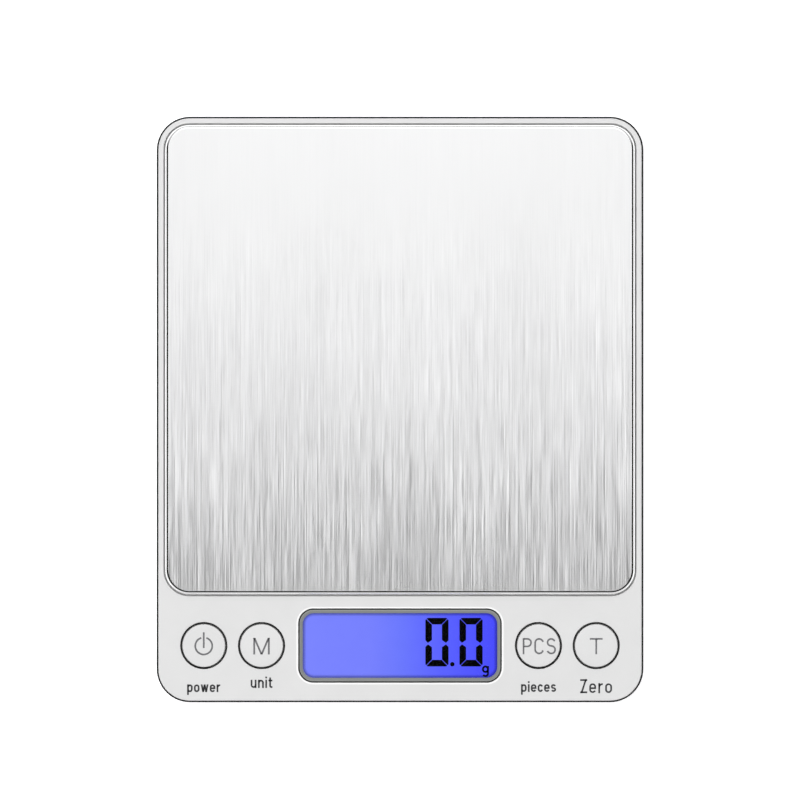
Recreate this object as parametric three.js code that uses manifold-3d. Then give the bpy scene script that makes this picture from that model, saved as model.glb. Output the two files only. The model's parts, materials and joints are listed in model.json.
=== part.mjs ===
// A table-top digital gram scale: a two-piece ABS body, a stainless weighing platform on a bar load cell, a backlit
// seven-segment display between four round push-buttons, and two AAA cells under a hinged door in the underside.
//
// Units are millimetres. +Z is up and -Y is the display side. The origin is on the table under the body's centre.

import * as THREE from "three";
import { mergeVertices } from "three/addons/utils/BufferGeometryUtils.js";
import Module from "manifold-3d";

const wasm = await Module();
wasm.setup();

// ---------------------------------------------------------------- driving dimensions

const BODY = {
  width: 106.4,
  length: 128,
  corner: 7.3,
  wall: 1.8,
  underside: 1.4, // the feet hold the body this far off the table
  floor: 3.2, // upper face of the lower housing's floor
  seam: 12,
  seamGap: 0.2,
  coverInset: 0.4, // the upper housing stands this far inside the lower one's outline
  bossSplit: 8,
  panel: 17.5, // upper face of the control panel and of the rim round the platform
  panelUnderside: 15.7,
};
const WELL = { rim: 1.65, y: 10.85, underside: 13.8, floor: 15 };
WELL.size = BODY.width - 2 * WELL.rim;
WELL.corner = BODY.corner - WELL.rim;

const PLATFORM = { gap: 0.35, top: 19, sheet: 0.5, skirt: 2.8, bend: 0.8 };
PLATFORM.size = WELL.size - 2 * PLATFORM.gap;
PLATFORM.corner = WELL.corner - PLATFORM.gap;
const TRAY = { clearance: 0.7, bottom: 15.8, web: 16.4, top: 17.9, rib: 1.2 };
const POSTS = { x: 19, y: 12, radius: 3.25, hole: 4.5, bottom: 13.3 };
const BRACKET = { width: 50, length: 34, corner: 3, bottom: 12, top: 13.2, pad: 11.1, padStart: 11.5 };
const LOAD_CELL = { length: 50, width: 12, bottom: 4.6, top: 11, holes: [14.5, 20.5], bore: 1.65 };

const CONTROLS_Y = -51.5; // centre line of the display and the buttons
const DISPLAY = { width: 42.4, length: 14.1, corner: 2.4 };
const BEZEL = { width: 44.2, length: 16, corner: 3.2, gap: 0.1, seat: 16.6, top: 17.6 };
const BUTTON = { hole: 5.125, radius: 4.65, flange: 5.7, flangeBottom: 14.2, top: 17.92 };
const BUTTON_X = { power: -42.8, mode: -30.2, count: 30.2, tare: 42.8 };
const BOARD = { width: 96, front: -61, rear: -33, bottom: 8, top: 9.6, screwX: 44, screwY: -36 };
const PILOT_TOP = 13.3; // upper end of the screw holes in the upper housing's bosses

const CELL = { radius: 5.25, length: 44.5, centre: 8.3, spacing: 11.2, nub: 1.9 }; // AAA
const BAY = { halfLength: 25.2, front: 32.3, rear: 55.2, wall: 1.2, top: 13.6 };
BAY.y = (BAY.front + BAY.rear) / 2;
const DOOR = { halfWidth: 26.9, front: 30.7, hingeY: 56.6, hingeZ: 2, thickness: 1.2 };
const HINGE = { pin: 0.5, pinLength: 1.25, bore: 0.57, entry: 0.42, segments: 16 }; // the pins snap past the entry
const FOOT = { x: 42.5, y: 53, radius: 4.5, top: 2.15 };
const HOUSING_SCREWS = [
  ["front_left", -46.5, -29],
  ["front_right", 46.5, -29],
  ["rear_left", -46.5, 44],
  ["rear_right", 46.5, 44],
];
const TOUCH = 0.1; // room left between pieces that rest on each other
const CUT = 1; // how far a cutting tool runs past the face that it cuts
const CORNER_SEGMENTS = 4;

// ---------------------------------------------------------------- materials

const finish = (color, roughness, metalness = 0, extra = {}) =>
  new THREE.MeshStandardMaterial({ color, roughness, metalness, ...extra });

const MATERIAL = {
  silverAbs: finish(0xe6e6e6, 0.42, 0.1),
  whiteAbs: finish(0xe4e4e2, 0.5),
  bezelGrey: finish(0x8a8d8c, 0.35, 0.3),
  brushedSteel: finish(0xd4d5d6, 0.3, 1),
  zincSteel: finish(0xb8bbc0, 0.35, 1),
  aluminium: finish(0xc9ccd0, 0.4, 1),
  nickel: finish(0xd8d4c8, 0.25, 1),
  blackSilicone: finish(0x161616, 0.7),
  charcoalAbs: finish(0x2b2c2e, 0.5),
  greyRubber: finish(0x3a3b3d, 0.85),
  whiteSilicone: finish(0xf0f0ec, 0.6),
  clearAcrylic: finish(0xffffff, 0.05, 0, { transparent: true, opacity: 0.25 }),
  lcdGlass: finish(0xaab4c8, 0.08, 0, { transparent: true, opacity: 0.6 }),
  blueFilm: finish(0x5a63ff, 0.3, 0, { emissive: 0x2a33ff }),
  lightGuide: finish(0xdfe6ff, 0.3),
  ledYellow: finish(0xf2e6a0, 0.4),
  blackAbs: finish(0x1c1c1e, 0.5),
  boardGreen: finish(0x1f6b3a, 0.45),
  epoxyBlack: finish(0x0c0c0d, 0.3),
  adhesive: finish(0xd8cfa8, 0.8),
  cellJacket: finish(0x2b4f7a, 0.35, 0.2),
  wireRed: finish(0xc02020, 0.5),
  wireBlack: finish(0x181818, 0.5),
  wireGrey: finish(0x9a9a9a, 0.5),
};

// ---------------------------------------------------------------- shapes and solids

// A closed three.js geometry as a manifold-3d solid, ready to join and cut.
function solid(geometry) {
  const bare = geometry.clone();
  bare.deleteAttribute("normal");
  bare.deleteAttribute("uv");
  const merged = mergeVertices(bare, 1e-4);
  return new wasm.Manifold(
    new wasm.Mesh({
      numProp: 3,
      vertProperties: merged.attributes.position.array,
      triVerts: new Uint32Array(merged.index.array),
    }),
  );
}

function geometryOf(manifold) {
  const mesh = manifold.getMesh();
  const geometry = new THREE.BufferGeometry();
  geometry.setAttribute("position", new THREE.BufferAttribute(mesh.vertProperties, 3));
  geometry.setIndex(new THREE.BufferAttribute(mesh.triVerts, 1));
  geometry.computeVertexNormals();
  return geometry;
}

const join = (first, ...others) => others.reduce((made, other) => made.add(other), first);
const cut = (first, ...others) => others.reduce((made, other) => made.subtract(other), first);

// The corners of a rounded rectangle, counter-clockwise, with the same number of points whatever its size.
function outline(width, length, radius) {
  const points = [];
  [[1, 1], [-1, 1], [-1, -1], [1, -1]].forEach(([sideX, sideY], quarter) => {
    for (let i = 0; i <= CORNER_SEGMENTS; i++) {
      const angle = (quarter + i / CORNER_SEGMENTS) * (Math.PI / 2);
      points.push([
        sideX * (width / 2 - radius) + radius * Math.cos(angle),
        sideY * (length / 2 - radius) + radius * Math.sin(angle),
      ]);
    }
  });
  return points;
}

// A solid through a stack of rounded rectangles. Each section is [height, inset], from the bottom up.
function stacked(width, length, corner, sections, x = 0, y = 0) {
  const rings = sections.map(([z, inset]) =>
    outline(width - 2 * inset, length - 2 * inset, corner - inset).map((p) => [x + p[0], y + p[1], z]),
  );
  const count = rings[0].length;
  const index = [];
  for (let ring = 0; ring < rings.length - 1; ring++)
    for (let i = 0; i < count; i++) {
      const [a, b] = [ring * count + i, ring * count + ((i + 1) % count)];
      index.push(a, b, b + count, a, b + count, a + count);
    }
  const last = (rings.length - 1) * count;
  for (let i = 1; i < count - 1; i++) index.push(0, i + 1, i, last, last + i, last + i + 1);
  const geometry = new THREE.BufferGeometry();
  geometry.setAttribute("position", new THREE.Float32BufferAttribute(rings.flat(2), 3));
  geometry.setIndex(index);
  return solid(geometry);
}

// A flat slab with rounded corners between two heights.
const slab = (width, length, corner, bottom, top, x = 0, y = 0) =>
  stacked(width, length, corner, [[bottom, 0], [top, 0]], x, y);

// A box given by its lowest and highest corners.
function block([x0, y0, z0], [x1, y1, z1]) {
  const box = new THREE.BoxGeometry(x1 - x0, y1 - y0, z1 - z0);
  return solid(box.translate((x0 + x1) / 2, (y0 + y1) / 2, (z0 + z1) / 2));
}

// A vertical cylinder.
function rod(radius, bottom, top, x = 0, y = 0, segments = 16) {
  const cylinder = new THREE.CylinderGeometry(radius, radius, top - bottom, segments);
  return solid(cylinder.rotateX(Math.PI / 2).translate(x, y, (bottom + top) / 2));
}

// A solid of revolution about a vertical axis. The profile is [radius, height], from the bottom up.
function turned(profile, x = 0, y = 0, segments = 16) {
  const points = profile.map(([radius, height]) => new THREE.Vector2(radius, height));
  return solid(new THREE.LatheGeometry(points, segments).rotateX(Math.PI / 2).translate(x, y, 0));
}

// A round wire along a curve.
function tube(curve, radius, steps, sides = 8) {
  const section = new THREE.Shape();
  for (let i = 0; i < sides; i++) {
    const angle = (i / sides) * 2 * Math.PI;
    section[i ? "lineTo" : "moveTo"](radius * Math.cos(angle), radius * Math.sin(angle));
  }
  return solid(new THREE.ExtrudeGeometry(section, { steps, bevelEnabled: false, extrudePath: curve }));
}

const smooth = (points) => new THREE.CatmullRomCurve3(points.map((p) => new THREE.Vector3(...p)));

// Sections of an edge rounded to a radius, for stacked(): the lower edge of a body, or its upper one.
function roundedEdge(radius, height, inset, upper, steps = 4) {
  return Array.from({ length: steps + 1 }, (_, i) => {
    const angle = ((upper ? i : steps - i) / steps) * (Math.PI / 2);
    const rise = radius * Math.sin(angle);
    return [height + (upper ? rise : -rise), inset + radius * (1 - Math.cos(angle))];
  });
}

// ---------------------------------------------------------------- the assembly

const scale = new THREE.Group();
scale.name = "gram_scale";

function add(name, shape, material) {
  const mesh = new THREE.Mesh(geometryOf(shape), material);
  mesh.name = name;
  scale.add(mesh);
}

// ---------------------------------------------------------------- fasteners

const crossRecess = (size, depth, face, x, y, up) => {
  const [low, high] = up ? [face - depth, face + CUT] : [face - CUT, face + depth];
  const bar = (w, l) => block([x - w / 2, y - l / 2, low], [x + w / 2, y + l / 2, high]);
  return join(bar(size, size / 4), bar(size / 4, size));
};

// A pan-head screw driven upwards: its head is below and its shank ends at the tip.
function screwFromBelow(headRadius, headBottom, headTop, shankRadius, tip, x, y) {
  const profile = [
    [0, headBottom],
    [headRadius * 0.7, headBottom],
    [headRadius, headBottom + (headTop - headBottom) * 0.5],
    [headRadius, headTop],
    [shankRadius, headTop],
    [shankRadius, tip - shankRadius],
    [0, tip],
  ];
  const recess = crossRecess(headRadius, (headTop - headBottom) * 0.6, headBottom, x, y, false);
  return cut(turned(profile, x, y, 12), recess);
}

// A screw driven downwards, with a pan head or a countersunk one.
function screwFromAbove(headRadius, headBottom, headTop, shankRadius, tip, x, y, countersunk = false) {
  const profile = [
    [0, tip],
    [shankRadius, tip + shankRadius],
    [shankRadius, headBottom],
    [countersunk ? shankRadius + TOUCH : headRadius, headBottom],
    [headRadius, countersunk ? headTop - TOUCH : (headBottom + headTop) / 2],
    [headRadius * (countersunk ? 0.98 : 0.7), headTop],
    [0, headTop],
  ];
  const recess = crossRecess(headRadius, (headTop - headBottom) * 0.6, headTop, x, y, true);
  return cut(turned(profile, x, y, 12), recess);
}

// ---------------------------------------------------------------- lower housing and underside

const LIP = { outer: 1.3, inner: 2.1, top: 13.2 }; // the lower housing's tongue, as insets from the body's outline
const LOWER_EDGE = { radius: 1.5, inset: 1.2 };
const HOUSING_BOSS = { radius: 3.5, headSeat: 5, counterbore: 2.8, hole: 1.5 };
const CELL_PAD_LENGTH = 14; // the raised pad that the load cell's fixed end is screwed to
const CELL_SCREW = { counterbore: 3.2, headSeat: 3 };
const OVERLOAD_STOP = { start: 14, end: 24, halfWidth: 4, top: 3.95 }; // under the load cell's free end
const FLOOR_RIB = { x: 32, halfThickness: 0.6, halfLength: 28, top: 5 };
const FOOT_RECESS = { side: 0.15, above: 0.05 };

const insetSlab = (inset, bottom, top) =>
  slab(BODY.width - 2 * inset, BODY.length - 2 * inset, BODY.corner - inset, bottom, top);

function lowerHousing() {
  const { radius, inset } = LOWER_EDGE;
  const shell = cut(
    stacked(BODY.width, BODY.length, BODY.corner, [
      ...roundedEdge(radius, BODY.underside + radius, inset, false),
      [BODY.seam, 0],
    ]),
    stacked(BODY.width, BODY.length, BODY.corner, [
      [BODY.floor, inset + BODY.wall],
      [BODY.bossSplit, LIP.inner],
      [BODY.seam + CUT, LIP.inner],
    ]),
  );
  const lip = cut(
    insetSlab(LIP.outer, BODY.seam - BODY.seamGap, LIP.top),
    insetSlab(LIP.inner, BODY.floor, LIP.top + CUT),
  );
  const { wall } = BAY;
  const bayOuter = block(
    [-BAY.halfLength - wall, BAY.front - wall, BODY.floor - TOUCH],
    [BAY.halfLength + wall, BAY.rear + wall, BAY.top],
  );
  const cellPad = block(
    [-LOAD_CELL.length / 2, WELL.y - LOAD_CELL.width / 2, BODY.floor - TOUCH],
    [-LOAD_CELL.length / 2 + CELL_PAD_LENGTH, WELL.y + LOAD_CELL.width / 2, LOAD_CELL.bottom - TOUCH],
  );
  const overloadStop = block(
    [OVERLOAD_STOP.start, WELL.y - OVERLOAD_STOP.halfWidth, BODY.floor - TOUCH],
    [OVERLOAD_STOP.end, WELL.y + OVERLOAD_STOP.halfWidth, OVERLOAD_STOP.top],
  );
  const { halfThickness, halfLength } = FLOOR_RIB;
  const ribs = [-FLOOR_RIB.x, FLOOR_RIB.x].map((x) =>
    block([x - halfThickness, -halfLength, BODY.floor - TOUCH], [x + halfThickness, halfLength, FLOOR_RIB.top]));
  const bosses = HOUSING_SCREWS.map(([, x, y]) => rod(HOUSING_BOSS.radius, BODY.floor - TOUCH, BODY.bossSplit, x, y));
  return cut(
    join(shell, lip, bayOuter, cellPad, overloadStop, ...ribs, ...bosses),
    ...bayCuts(),
    ...HOUSING_SCREWS.flatMap(([, x, y]) => [
      rod(HOUSING_BOSS.counterbore, 0, HOUSING_BOSS.headSeat, x, y),
      rod(HOUSING_BOSS.hole, 0, BODY.bossSplit + CUT, x, y, 12),
    ]),
    ...LOAD_CELL.holes.flatMap((x) => [
      rod(CELL_SCREW.counterbore, 0, CELL_SCREW.headSeat, -x, WELL.y),
      rod(LOAD_CELL.bore, 0, LOAD_CELL.bottom, -x, WELL.y, 12),
    ]),
    ...footPlaces().map(([, x, y]) =>
      rod(FOOT.radius + FOOT_RECESS.side, 0, FOOT.top + FOOT_RECESS.above, x, y, 20)),
  );
}

// A horizontal cylinder on the door's hinge axis.
const alongHinge = (radius, halfLength, segments) =>
  new THREE.CylinderGeometry(radius, radius, 2 * halfLength, segments)
    .rotateZ(Math.PI / 2)
    .translate(0, DOOR.hingeY, DOOR.hingeZ);

const RECESS = { side: 0.15, rear: 0.8, ceiling: DOOR.hingeZ + DOOR.thickness / 2 + TOUCH };
const SCOOP = { radius: 8, length: 16, y: 26.5, depth: 1.1 };
const LATCH = { halfWidth: 6.3, front: 28.7 };
const NOTCH = { start: 24, end: 30, halfWidth: 1.6, bottom: 10.2 };

// The battery bay, the door's recess and hinge sockets, the finger scoop, and the notches for the solder tabs.
function bayCuts() {
  const halfWidth = DOOR.halfWidth + RECESS.side;
  const inside = block([-BAY.halfLength, BAY.front, 0], [BAY.halfLength, BAY.rear, BAY.top + CUT]);
  const doorRecess = block(
    [-halfWidth, DOOR.front - RECESS.side, 0],
    [halfWidth, DOOR.hingeY + RECESS.rear, RECESS.ceiling],
  );
  const reach = halfWidth + HINGE.pinLength + RECESS.side;
  const sockets = solid(alongHinge(HINGE.bore, reach, HINGE.segments));
  const entry = block([-reach, DOOR.hingeY - HINGE.entry, 0], [reach, DOOR.hingeY + HINGE.entry, DOOR.hingeZ]);
  const scoop = new THREE.CylinderGeometry(SCOOP.radius, SCOOP.radius, SCOOP.length, 48);
  scoop.rotateZ(Math.PI / 2).translate(0, SCOOP.y, BODY.underside + SCOOP.depth - SCOOP.radius);
  const latchRecess = block([-LATCH.halfWidth, LATCH.front, 0], [LATCH.halfWidth, DOOR.front, RECESS.ceiling]);
  const notches = cellRows().map((y) =>
    block([NOTCH.start, y - NOTCH.halfWidth, NOTCH.bottom], [NOTCH.end, y + NOTCH.halfWidth, BAY.top + CUT]));
  return [inside, doorRecess, sockets, entry, solid(scoop), latchRecess, ...notches];
}

const cellRows = () => [BAY.y - CELL.spacing / 2, BAY.y + CELL.spacing / 2];

const footPlaces = () =>
  [["front", -FOOT.y], ["rear", FOOT.y]].flatMap(([end, y]) => [
    [`${end}_left`, -FOOT.x, y],
    [`${end}_right`, FOOT.x, y],
  ]);

const TAB = { halfWidth: 6, reach: 1.5, thickness: 0.8 };
const GROOVES = { count: 4, front: 33, pitch: 1.6, width: 0.7, halfLength: 7, depth: 0.3 };

// The door turns on two pins at its rear edge, which is rounded about the hinge axis.
function batteryDoor() {
  const [bottom, top] = [DOOR.hingeZ - DOOR.thickness / 2, DOOR.hingeZ + DOOR.thickness / 2];
  const plate = block([-DOOR.halfWidth, DOOR.front, bottom], [DOOR.halfWidth, DOOR.hingeY, top]);
  const tab = block(
    [-TAB.halfWidth, DOOR.front - TAB.reach, bottom],
    [TAB.halfWidth, DOOR.front + CUT, bottom + TAB.thickness],
  );
  const grooves = Array.from({ length: GROOVES.count }, (_, i) => {
    const y = GROOVES.front + i * GROOVES.pitch;
    return block([-GROOVES.halfLength, y, 0], [GROOVES.halfLength, y + GROOVES.width, bottom + GROOVES.depth]);
  });
  return cut(
    join(
      plate,
      tab,
      solid(alongHinge(DOOR.thickness / 2, DOOR.halfWidth, 16)),
      solid(alongHinge(HINGE.pin, DOOR.halfWidth + HINGE.pinLength, HINGE.segments)),
    ),
    ...grooves,
  );
}

function foot(x, y) {
  const edge = 0.5;
  const { radius, top } = FOOT;
  return turned([[0, 0], [radius - edge, 0], [radius, edge], [radius, top], [0, top]], x, y, 20);
}

add("lower_housing", lowerHousing(), MATERIAL.charcoalAbs);
add("battery_door", batteryDoor(), MATERIAL.charcoalAbs);
for (const [place, x, y] of footPlaces()) add(`rubber_foot_${place}`, foot(x, y), MATERIAL.greyRubber);
for (const [place, x, y] of HOUSING_SCREWS)
  add(`housing_screw_${place}`, screwFromBelow(2.5, 3.5, 4.9, 1.25, 12.8, x, y), MATERIAL.zincSteel);

// ---------------------------------------------------------------- upper housing

const LENS = { width: 45, length: 16.6, corner: 1.8, bottom: 14.8, top: 15.8 };
const LENS_FRAME = { wall: 1.3, room: 0.2, bottom: 14.6 };
const UPPER_BOSS = { radius: 3, hole: 1.4 };
const BOARD_BOSS = { radius: 2.5, hole: 1 };
const BOARD_REST = { x: 36.5, halfWidth: 4, front: -60.8, rear: -59.6 };
const PLATFORM_STOP = { offset: 43, radius: 3.5, top: 15.15 }; // pads in the well's corners, under the tray's edge
const CUT_FROM = 14; // the openings in the panel are cut from here up to CUT_TO
const CUT_TO = 18;

function upperHousing() {
  const edge = 0.3;
  const innerFront = BODY.length / 2 - BODY.wall;
  const wellFront = WELL.y - WELL.size / 2;
  const stripRear = wellFront - 1.4;
  const frameWidth = LENS.width + 2 * LENS_FRAME.wall;
  const frameLength = LENS.length + 2 * LENS_FRAME.wall;
  const body = cut(
    stacked(BODY.width, BODY.length, BODY.corner, [
      [BODY.seam + BODY.seamGap, BODY.coverInset],
      ...roundedEdge(edge, BODY.panel - edge, BODY.coverInset, true),
    ]),
    insetSlab(BODY.wall, 0, WELL.underside),
    insetSlab(LIP.outer - TOUCH, 0, LIP.top + 0.2),
    slab(
      BODY.width - 2 * BODY.wall, innerFront + stripRear, 4.5,
      WELL.underside - CUT, BODY.panelUnderside,
      0, (stripRear - innerFront) / 2,
    ),
    slab(WELL.size, WELL.size, WELL.corner, WELL.floor, PLATFORM.top, 0, WELL.y),
  );
  const lensFrame = slab(frameWidth, frameLength, 3, LENS_FRAME.bottom, BODY.panelUnderside + TOUCH, 0, CONTROLS_Y);
  const screwBosses = HOUSING_SCREWS.map(([, x, y]) =>
    rod(UPPER_BOSS.radius, BODY.bossSplit + TOUCH, WELL.underside + TOUCH, x, y));
  const boardBosses = [-1, 1].map((side) =>
    rod(BOARD_BOSS.radius, BOARD.top + TOUCH, WELL.underside + TOUCH, side * BOARD.screwX, BOARD.screwY));
  const boardRests = [-BOARD_REST.x, BOARD_REST.x].map((x) =>
    block(
      [x - BOARD_REST.halfWidth, BOARD_REST.front, BOARD.top + TOUCH],
      [x + BOARD_REST.halfWidth, BOARD_REST.rear, BODY.panelUnderside + TOUCH],
    ));
  const { offset, radius, top } = PLATFORM_STOP;
  const stops = [-offset, offset].flatMap((x) =>
    [-offset, offset].map((y) => rod(radius, WELL.floor - TOUCH, top, x, WELL.y + y)));
  const { room } = LENS_FRAME;
  return cut(
    join(body, lensFrame, ...screwBosses, ...boardBosses, ...boardRests, ...stops),
    slab(LENS.width + 2 * room, LENS.length + 2 * room, 2, CUT_FROM, LENS.top + TOUCH, 0, CONTROLS_Y),
    slab(DISPLAY.width, DISPLAY.length, DISPLAY.corner, CUT_FROM, CUT_TO, 0, CONTROLS_Y),
    slab(BEZEL.width + 2 * BEZEL.gap, BEZEL.length + 2 * BEZEL.gap, BEZEL.corner, BEZEL.seat, CUT_TO, 0, CONTROLS_Y),
    ...Object.values(BUTTON_X).map((x) => rod(BUTTON.hole, CUT_FROM + CUT, CUT_TO, x, CONTROLS_Y, 24)),
    ...HOUSING_SCREWS.map(([, x, y]) => rod(UPPER_BOSS.hole, BODY.bossSplit, PILOT_TOP, x, y, 12)),
    ...[-1, 1].map((side) => rod(BOARD_BOSS.hole, BOARD.top, PILOT_TOP, side * BOARD.screwX, BOARD.screwY, 12)),
    ...postPlaces().map(([x, y]) => rod(POSTS.hole, WELL.underside - CUT, WELL.floor + CUT, x, y)),
  );
}

const postPlaces = () => [-1, 1].flatMap((sx) => [-1, 1].map((sy) => [sx * POSTS.x, WELL.y + sy * POSTS.y]));

add("upper_housing", upperHousing(), MATERIAL.silverAbs);

// ---------------------------------------------------------------- weighing platform and load cell

function platformPlate() {
  const { size, corner, top, sheet, skirt, bend } = PLATFORM;
  return cut(
    stacked(size, size, corner, [[top - skirt, 0], ...roundedEdge(bend, top - bend, 0, true)], 0, WELL.y),
    stacked(
      size, size, corner,
      [[top - skirt - CUT, sheet], ...roundedEdge(bend - sheet, top - bend, sheet, true, 2)],
      0, WELL.y,
    ),
  );
}

const TRAY_EDGE = 1.6; // thickness of the tray's rim
const TRAY_PIN = { radius: 1.5, hole: 1.7 };
const TRAY_SCREW = { hole: 1.3, thread: 1.2, counterbore: 2.6, headSeat: 16.6 };
const isScrewed = ([x, y]) => x * (y - WELL.y) > 0; // screws in two opposite posts, locating pins in the others

function platformTray() {
  const size = PLATFORM.size - 2 * TRAY.clearance;
  const corner = PLATFORM.corner - TRAY.clearance;
  const web = slab(size, size, corner, TRAY.web, TRAY.top, 0, WELL.y);
  const edge = cut(
    slab(size, size, corner, TRAY.bottom, TRAY.web + TOUCH, 0, WELL.y),
    slab(size - 2 * TRAY_EDGE, size - 2 * TRAY_EDGE, corner - TRAY_EDGE, TRAY.bottom - CUT, TRAY.web, 0, WELL.y),
  );
  const reach = size / 2 - 1;
  const ribs = [-30, 0, 30].flatMap((at) => [
    block([at - TRAY.rib / 2, WELL.y - reach, TRAY.bottom], [at + TRAY.rib / 2, WELL.y + reach, TRAY.web + TOUCH]),
    block([-reach, WELL.y + at - TRAY.rib / 2, TRAY.bottom], [reach, WELL.y + at + TRAY.rib / 2, TRAY.web + TOUCH]),
  ]);
  const posts = postPlaces().map(([x, y]) => rod(POSTS.radius, POSTS.bottom, TRAY.web + TOUCH, x, y));
  const pins = postPlaces()
    .filter((place) => !isScrewed(place))
    .map(([x, y]) => rod(TRAY_PIN.radius, BRACKET.bottom + TOUCH, POSTS.bottom + TOUCH, x, y, 12));
  const screwHoles = postPlaces().filter(isScrewed).flatMap(([x, y]) => [
    rod(TRAY_SCREW.hole, BRACKET.bottom, TRAY.top + CUT, x, y, 12),
    rod(TRAY_SCREW.counterbore, TRAY_SCREW.headSeat, TRAY.top + CUT, x, y),
  ]);
  return cut(join(web, edge, ...ribs, ...posts, ...pins), ...screwHoles);
}

function platformBracket() {
  const plate = slab(BRACKET.width, BRACKET.length, BRACKET.corner, BRACKET.bottom, BRACKET.top, 0, WELL.y);
  const pad = block(
    [BRACKET.padStart, WELL.y - LOAD_CELL.width / 2, BRACKET.pad],
    [BRACKET.width / 2 - 0.5, WELL.y + LOAD_CELL.width / 2, BRACKET.bottom + TOUCH],
  );
  const gaugeWindow = slab(19, 14, 2, BRACKET.pad - CUT, BRACKET.top + CUT, -1, WELL.y);
  const countersink = [[0, 11.8], [1.7, 11.8], [1.7, 12], [2.95, 13.2], [2.95, 14], [0, 14]];
  return cut(
    join(plate, pad),
    gaugeWindow,
    ...LOAD_CELL.holes.flatMap((x) => [
      rod(LOAD_CELL.bore, BRACKET.pad - CUT, BRACKET.top + CUT, x, WELL.y, 12),
      turned(countersink, x, WELL.y, 12),
    ]),
    ...postPlaces().map((place) => {
      const radius = isScrewed(place) ? TRAY_SCREW.thread : TRAY_PIN.hole;
      return rod(radius, BRACKET.bottom - CUT, BRACKET.top + CUT, place[0], place[1], 12);
    }),
  );
}

// The bar bends at the thin walls over and under its two joined cross-bores.
function loadCell() {
  const { length, width, bottom, top, bore } = LOAD_CELL;
  const middle = (bottom + top) / 2;
  const beam = { boreX: 5.2, boreRadius: 2.2, slot: 2 };
  const crossBore = (x) => {
    const bar = new THREE.CylinderGeometry(beam.boreRadius, beam.boreRadius, width + 2 * CUT, 24);
    return solid(bar.translate(x, WELL.y, middle));
  };
  const screwHole = (x) => rod(bore, bottom - CUT, top + CUT, x, WELL.y, 12);
  return cut(
    block([-length / 2, WELL.y - width / 2, bottom], [length / 2, WELL.y + width / 2, top]),
    crossBore(-beam.boreX),
    crossBore(beam.boreX),
    block(
      [-beam.boreX, WELL.y - width, middle - beam.slot / 2],
      [beam.boreX, WELL.y + width, middle + beam.slot / 2],
    ),
    ...LOAD_CELL.holes.flatMap((x) => [screwHole(x), screwHole(-x)]),
  );
}

add("platform_plate", platformPlate(), MATERIAL.brushedSteel);
add("platform_tape", slab(98, 98, 3, TRAY.top + TOUCH, TRAY.top + 0.5, 0, WELL.y), MATERIAL.adhesive);
add("platform_tray", platformTray(), MATERIAL.whiteAbs);
add("platform_bracket", platformBracket(), MATERIAL.zincSteel);
add("load_cell", loadCell(), MATERIAL.aluminium);
add(
  "gauge_seal_top",
  stacked(17, 9, 3, [[11.05, 0], [11.6, 0.2], [11.95, 1.2]], 0, WELL.y),
  MATERIAL.whiteSilicone,
);
add(
  "gauge_seal_bottom",
  stacked(17, 9, 3, [[3.65, 1.2], [4, 0.2], [4.55, 0]], 0, WELL.y),
  MATERIAL.whiteSilicone,
);
LOAD_CELL.holes.forEach((x, i) => {
  const above = screwFromAbove(2.7, 12.1, 13.15, 1.4, 6.5, x, WELL.y, true);
  add(`bracket_screw_${i + 1}`, above, MATERIAL.zincSteel);
  add(`load_cell_screw_${i + 1}`, screwFromBelow(2.8, 1.65, 2.9, 1.4, 9.8, -x, WELL.y), MATERIAL.zincSteel);
});
postPlaces().filter(isScrewed).forEach(([x, y], i) => {
  add(`tray_screw_${i + 1}`, screwFromAbove(2.3, 16.7, 17.8, 1, 12.1, x, y), MATERIAL.zincSteel);
});

// ---------------------------------------------------------------- display

const GLASS = { width: 46, length: 18.6, backLength: 16, bottom: 12, step: 13.15, top: 14.2 };
const FILM = { width: 43.6, length: 15.4 };
const BACK_Y = CONTROLS_Y + (GLASS.length - GLASS.backLength) / 2; // the back glass leaves a ledge at the front

function displayBezel() {
  const slope = 0.75;
  return cut(
    slab(BEZEL.width, BEZEL.length, BEZEL.corner, BEZEL.seat + TOUCH, BEZEL.top, 0, CONTROLS_Y),
    stacked(
      DISPLAY.width, DISPLAY.length, DISPLAY.corner,
      [[BEZEL.seat - CUT, 0], [BEZEL.seat + 0.35, 0], [BEZEL.top + 0.01, -slope]],
      0, CONTROLS_Y,
    ),
  );
}

function lcdGlass() {
  return join(
    slab(GLASS.width, GLASS.length, 0.3, GLASS.step, GLASS.top, 0, CONTROLS_Y),
    slab(GLASS.width, GLASS.backLength, 0.3, GLASS.bottom, GLASS.step + 0.05, 0, BACK_Y),
  );
}

function lcdHolder() {
  const [bottom, top] = [BOARD.top + TOUCH, 13.6];
  return cut(
    slab(51, 20.2, 1, bottom, top, 0, CONTROLS_Y),
    slab(GLASS.width + 0.3, GLASS.length + 0.3, 0.3, 11.95, top + CUT, 0, CONTROLS_Y),
    slab(FILM.width + 0.7, FILM.length + 0.5, 0.3, 9, 12.2, 0, BACK_Y),
    block([-21.5, -60.9, 9], [21.5, -58.8, 12.2]),
    block([-24.7, -52.8, 9], [-21.5, -47.7, 12.2]),
  );
}

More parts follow.
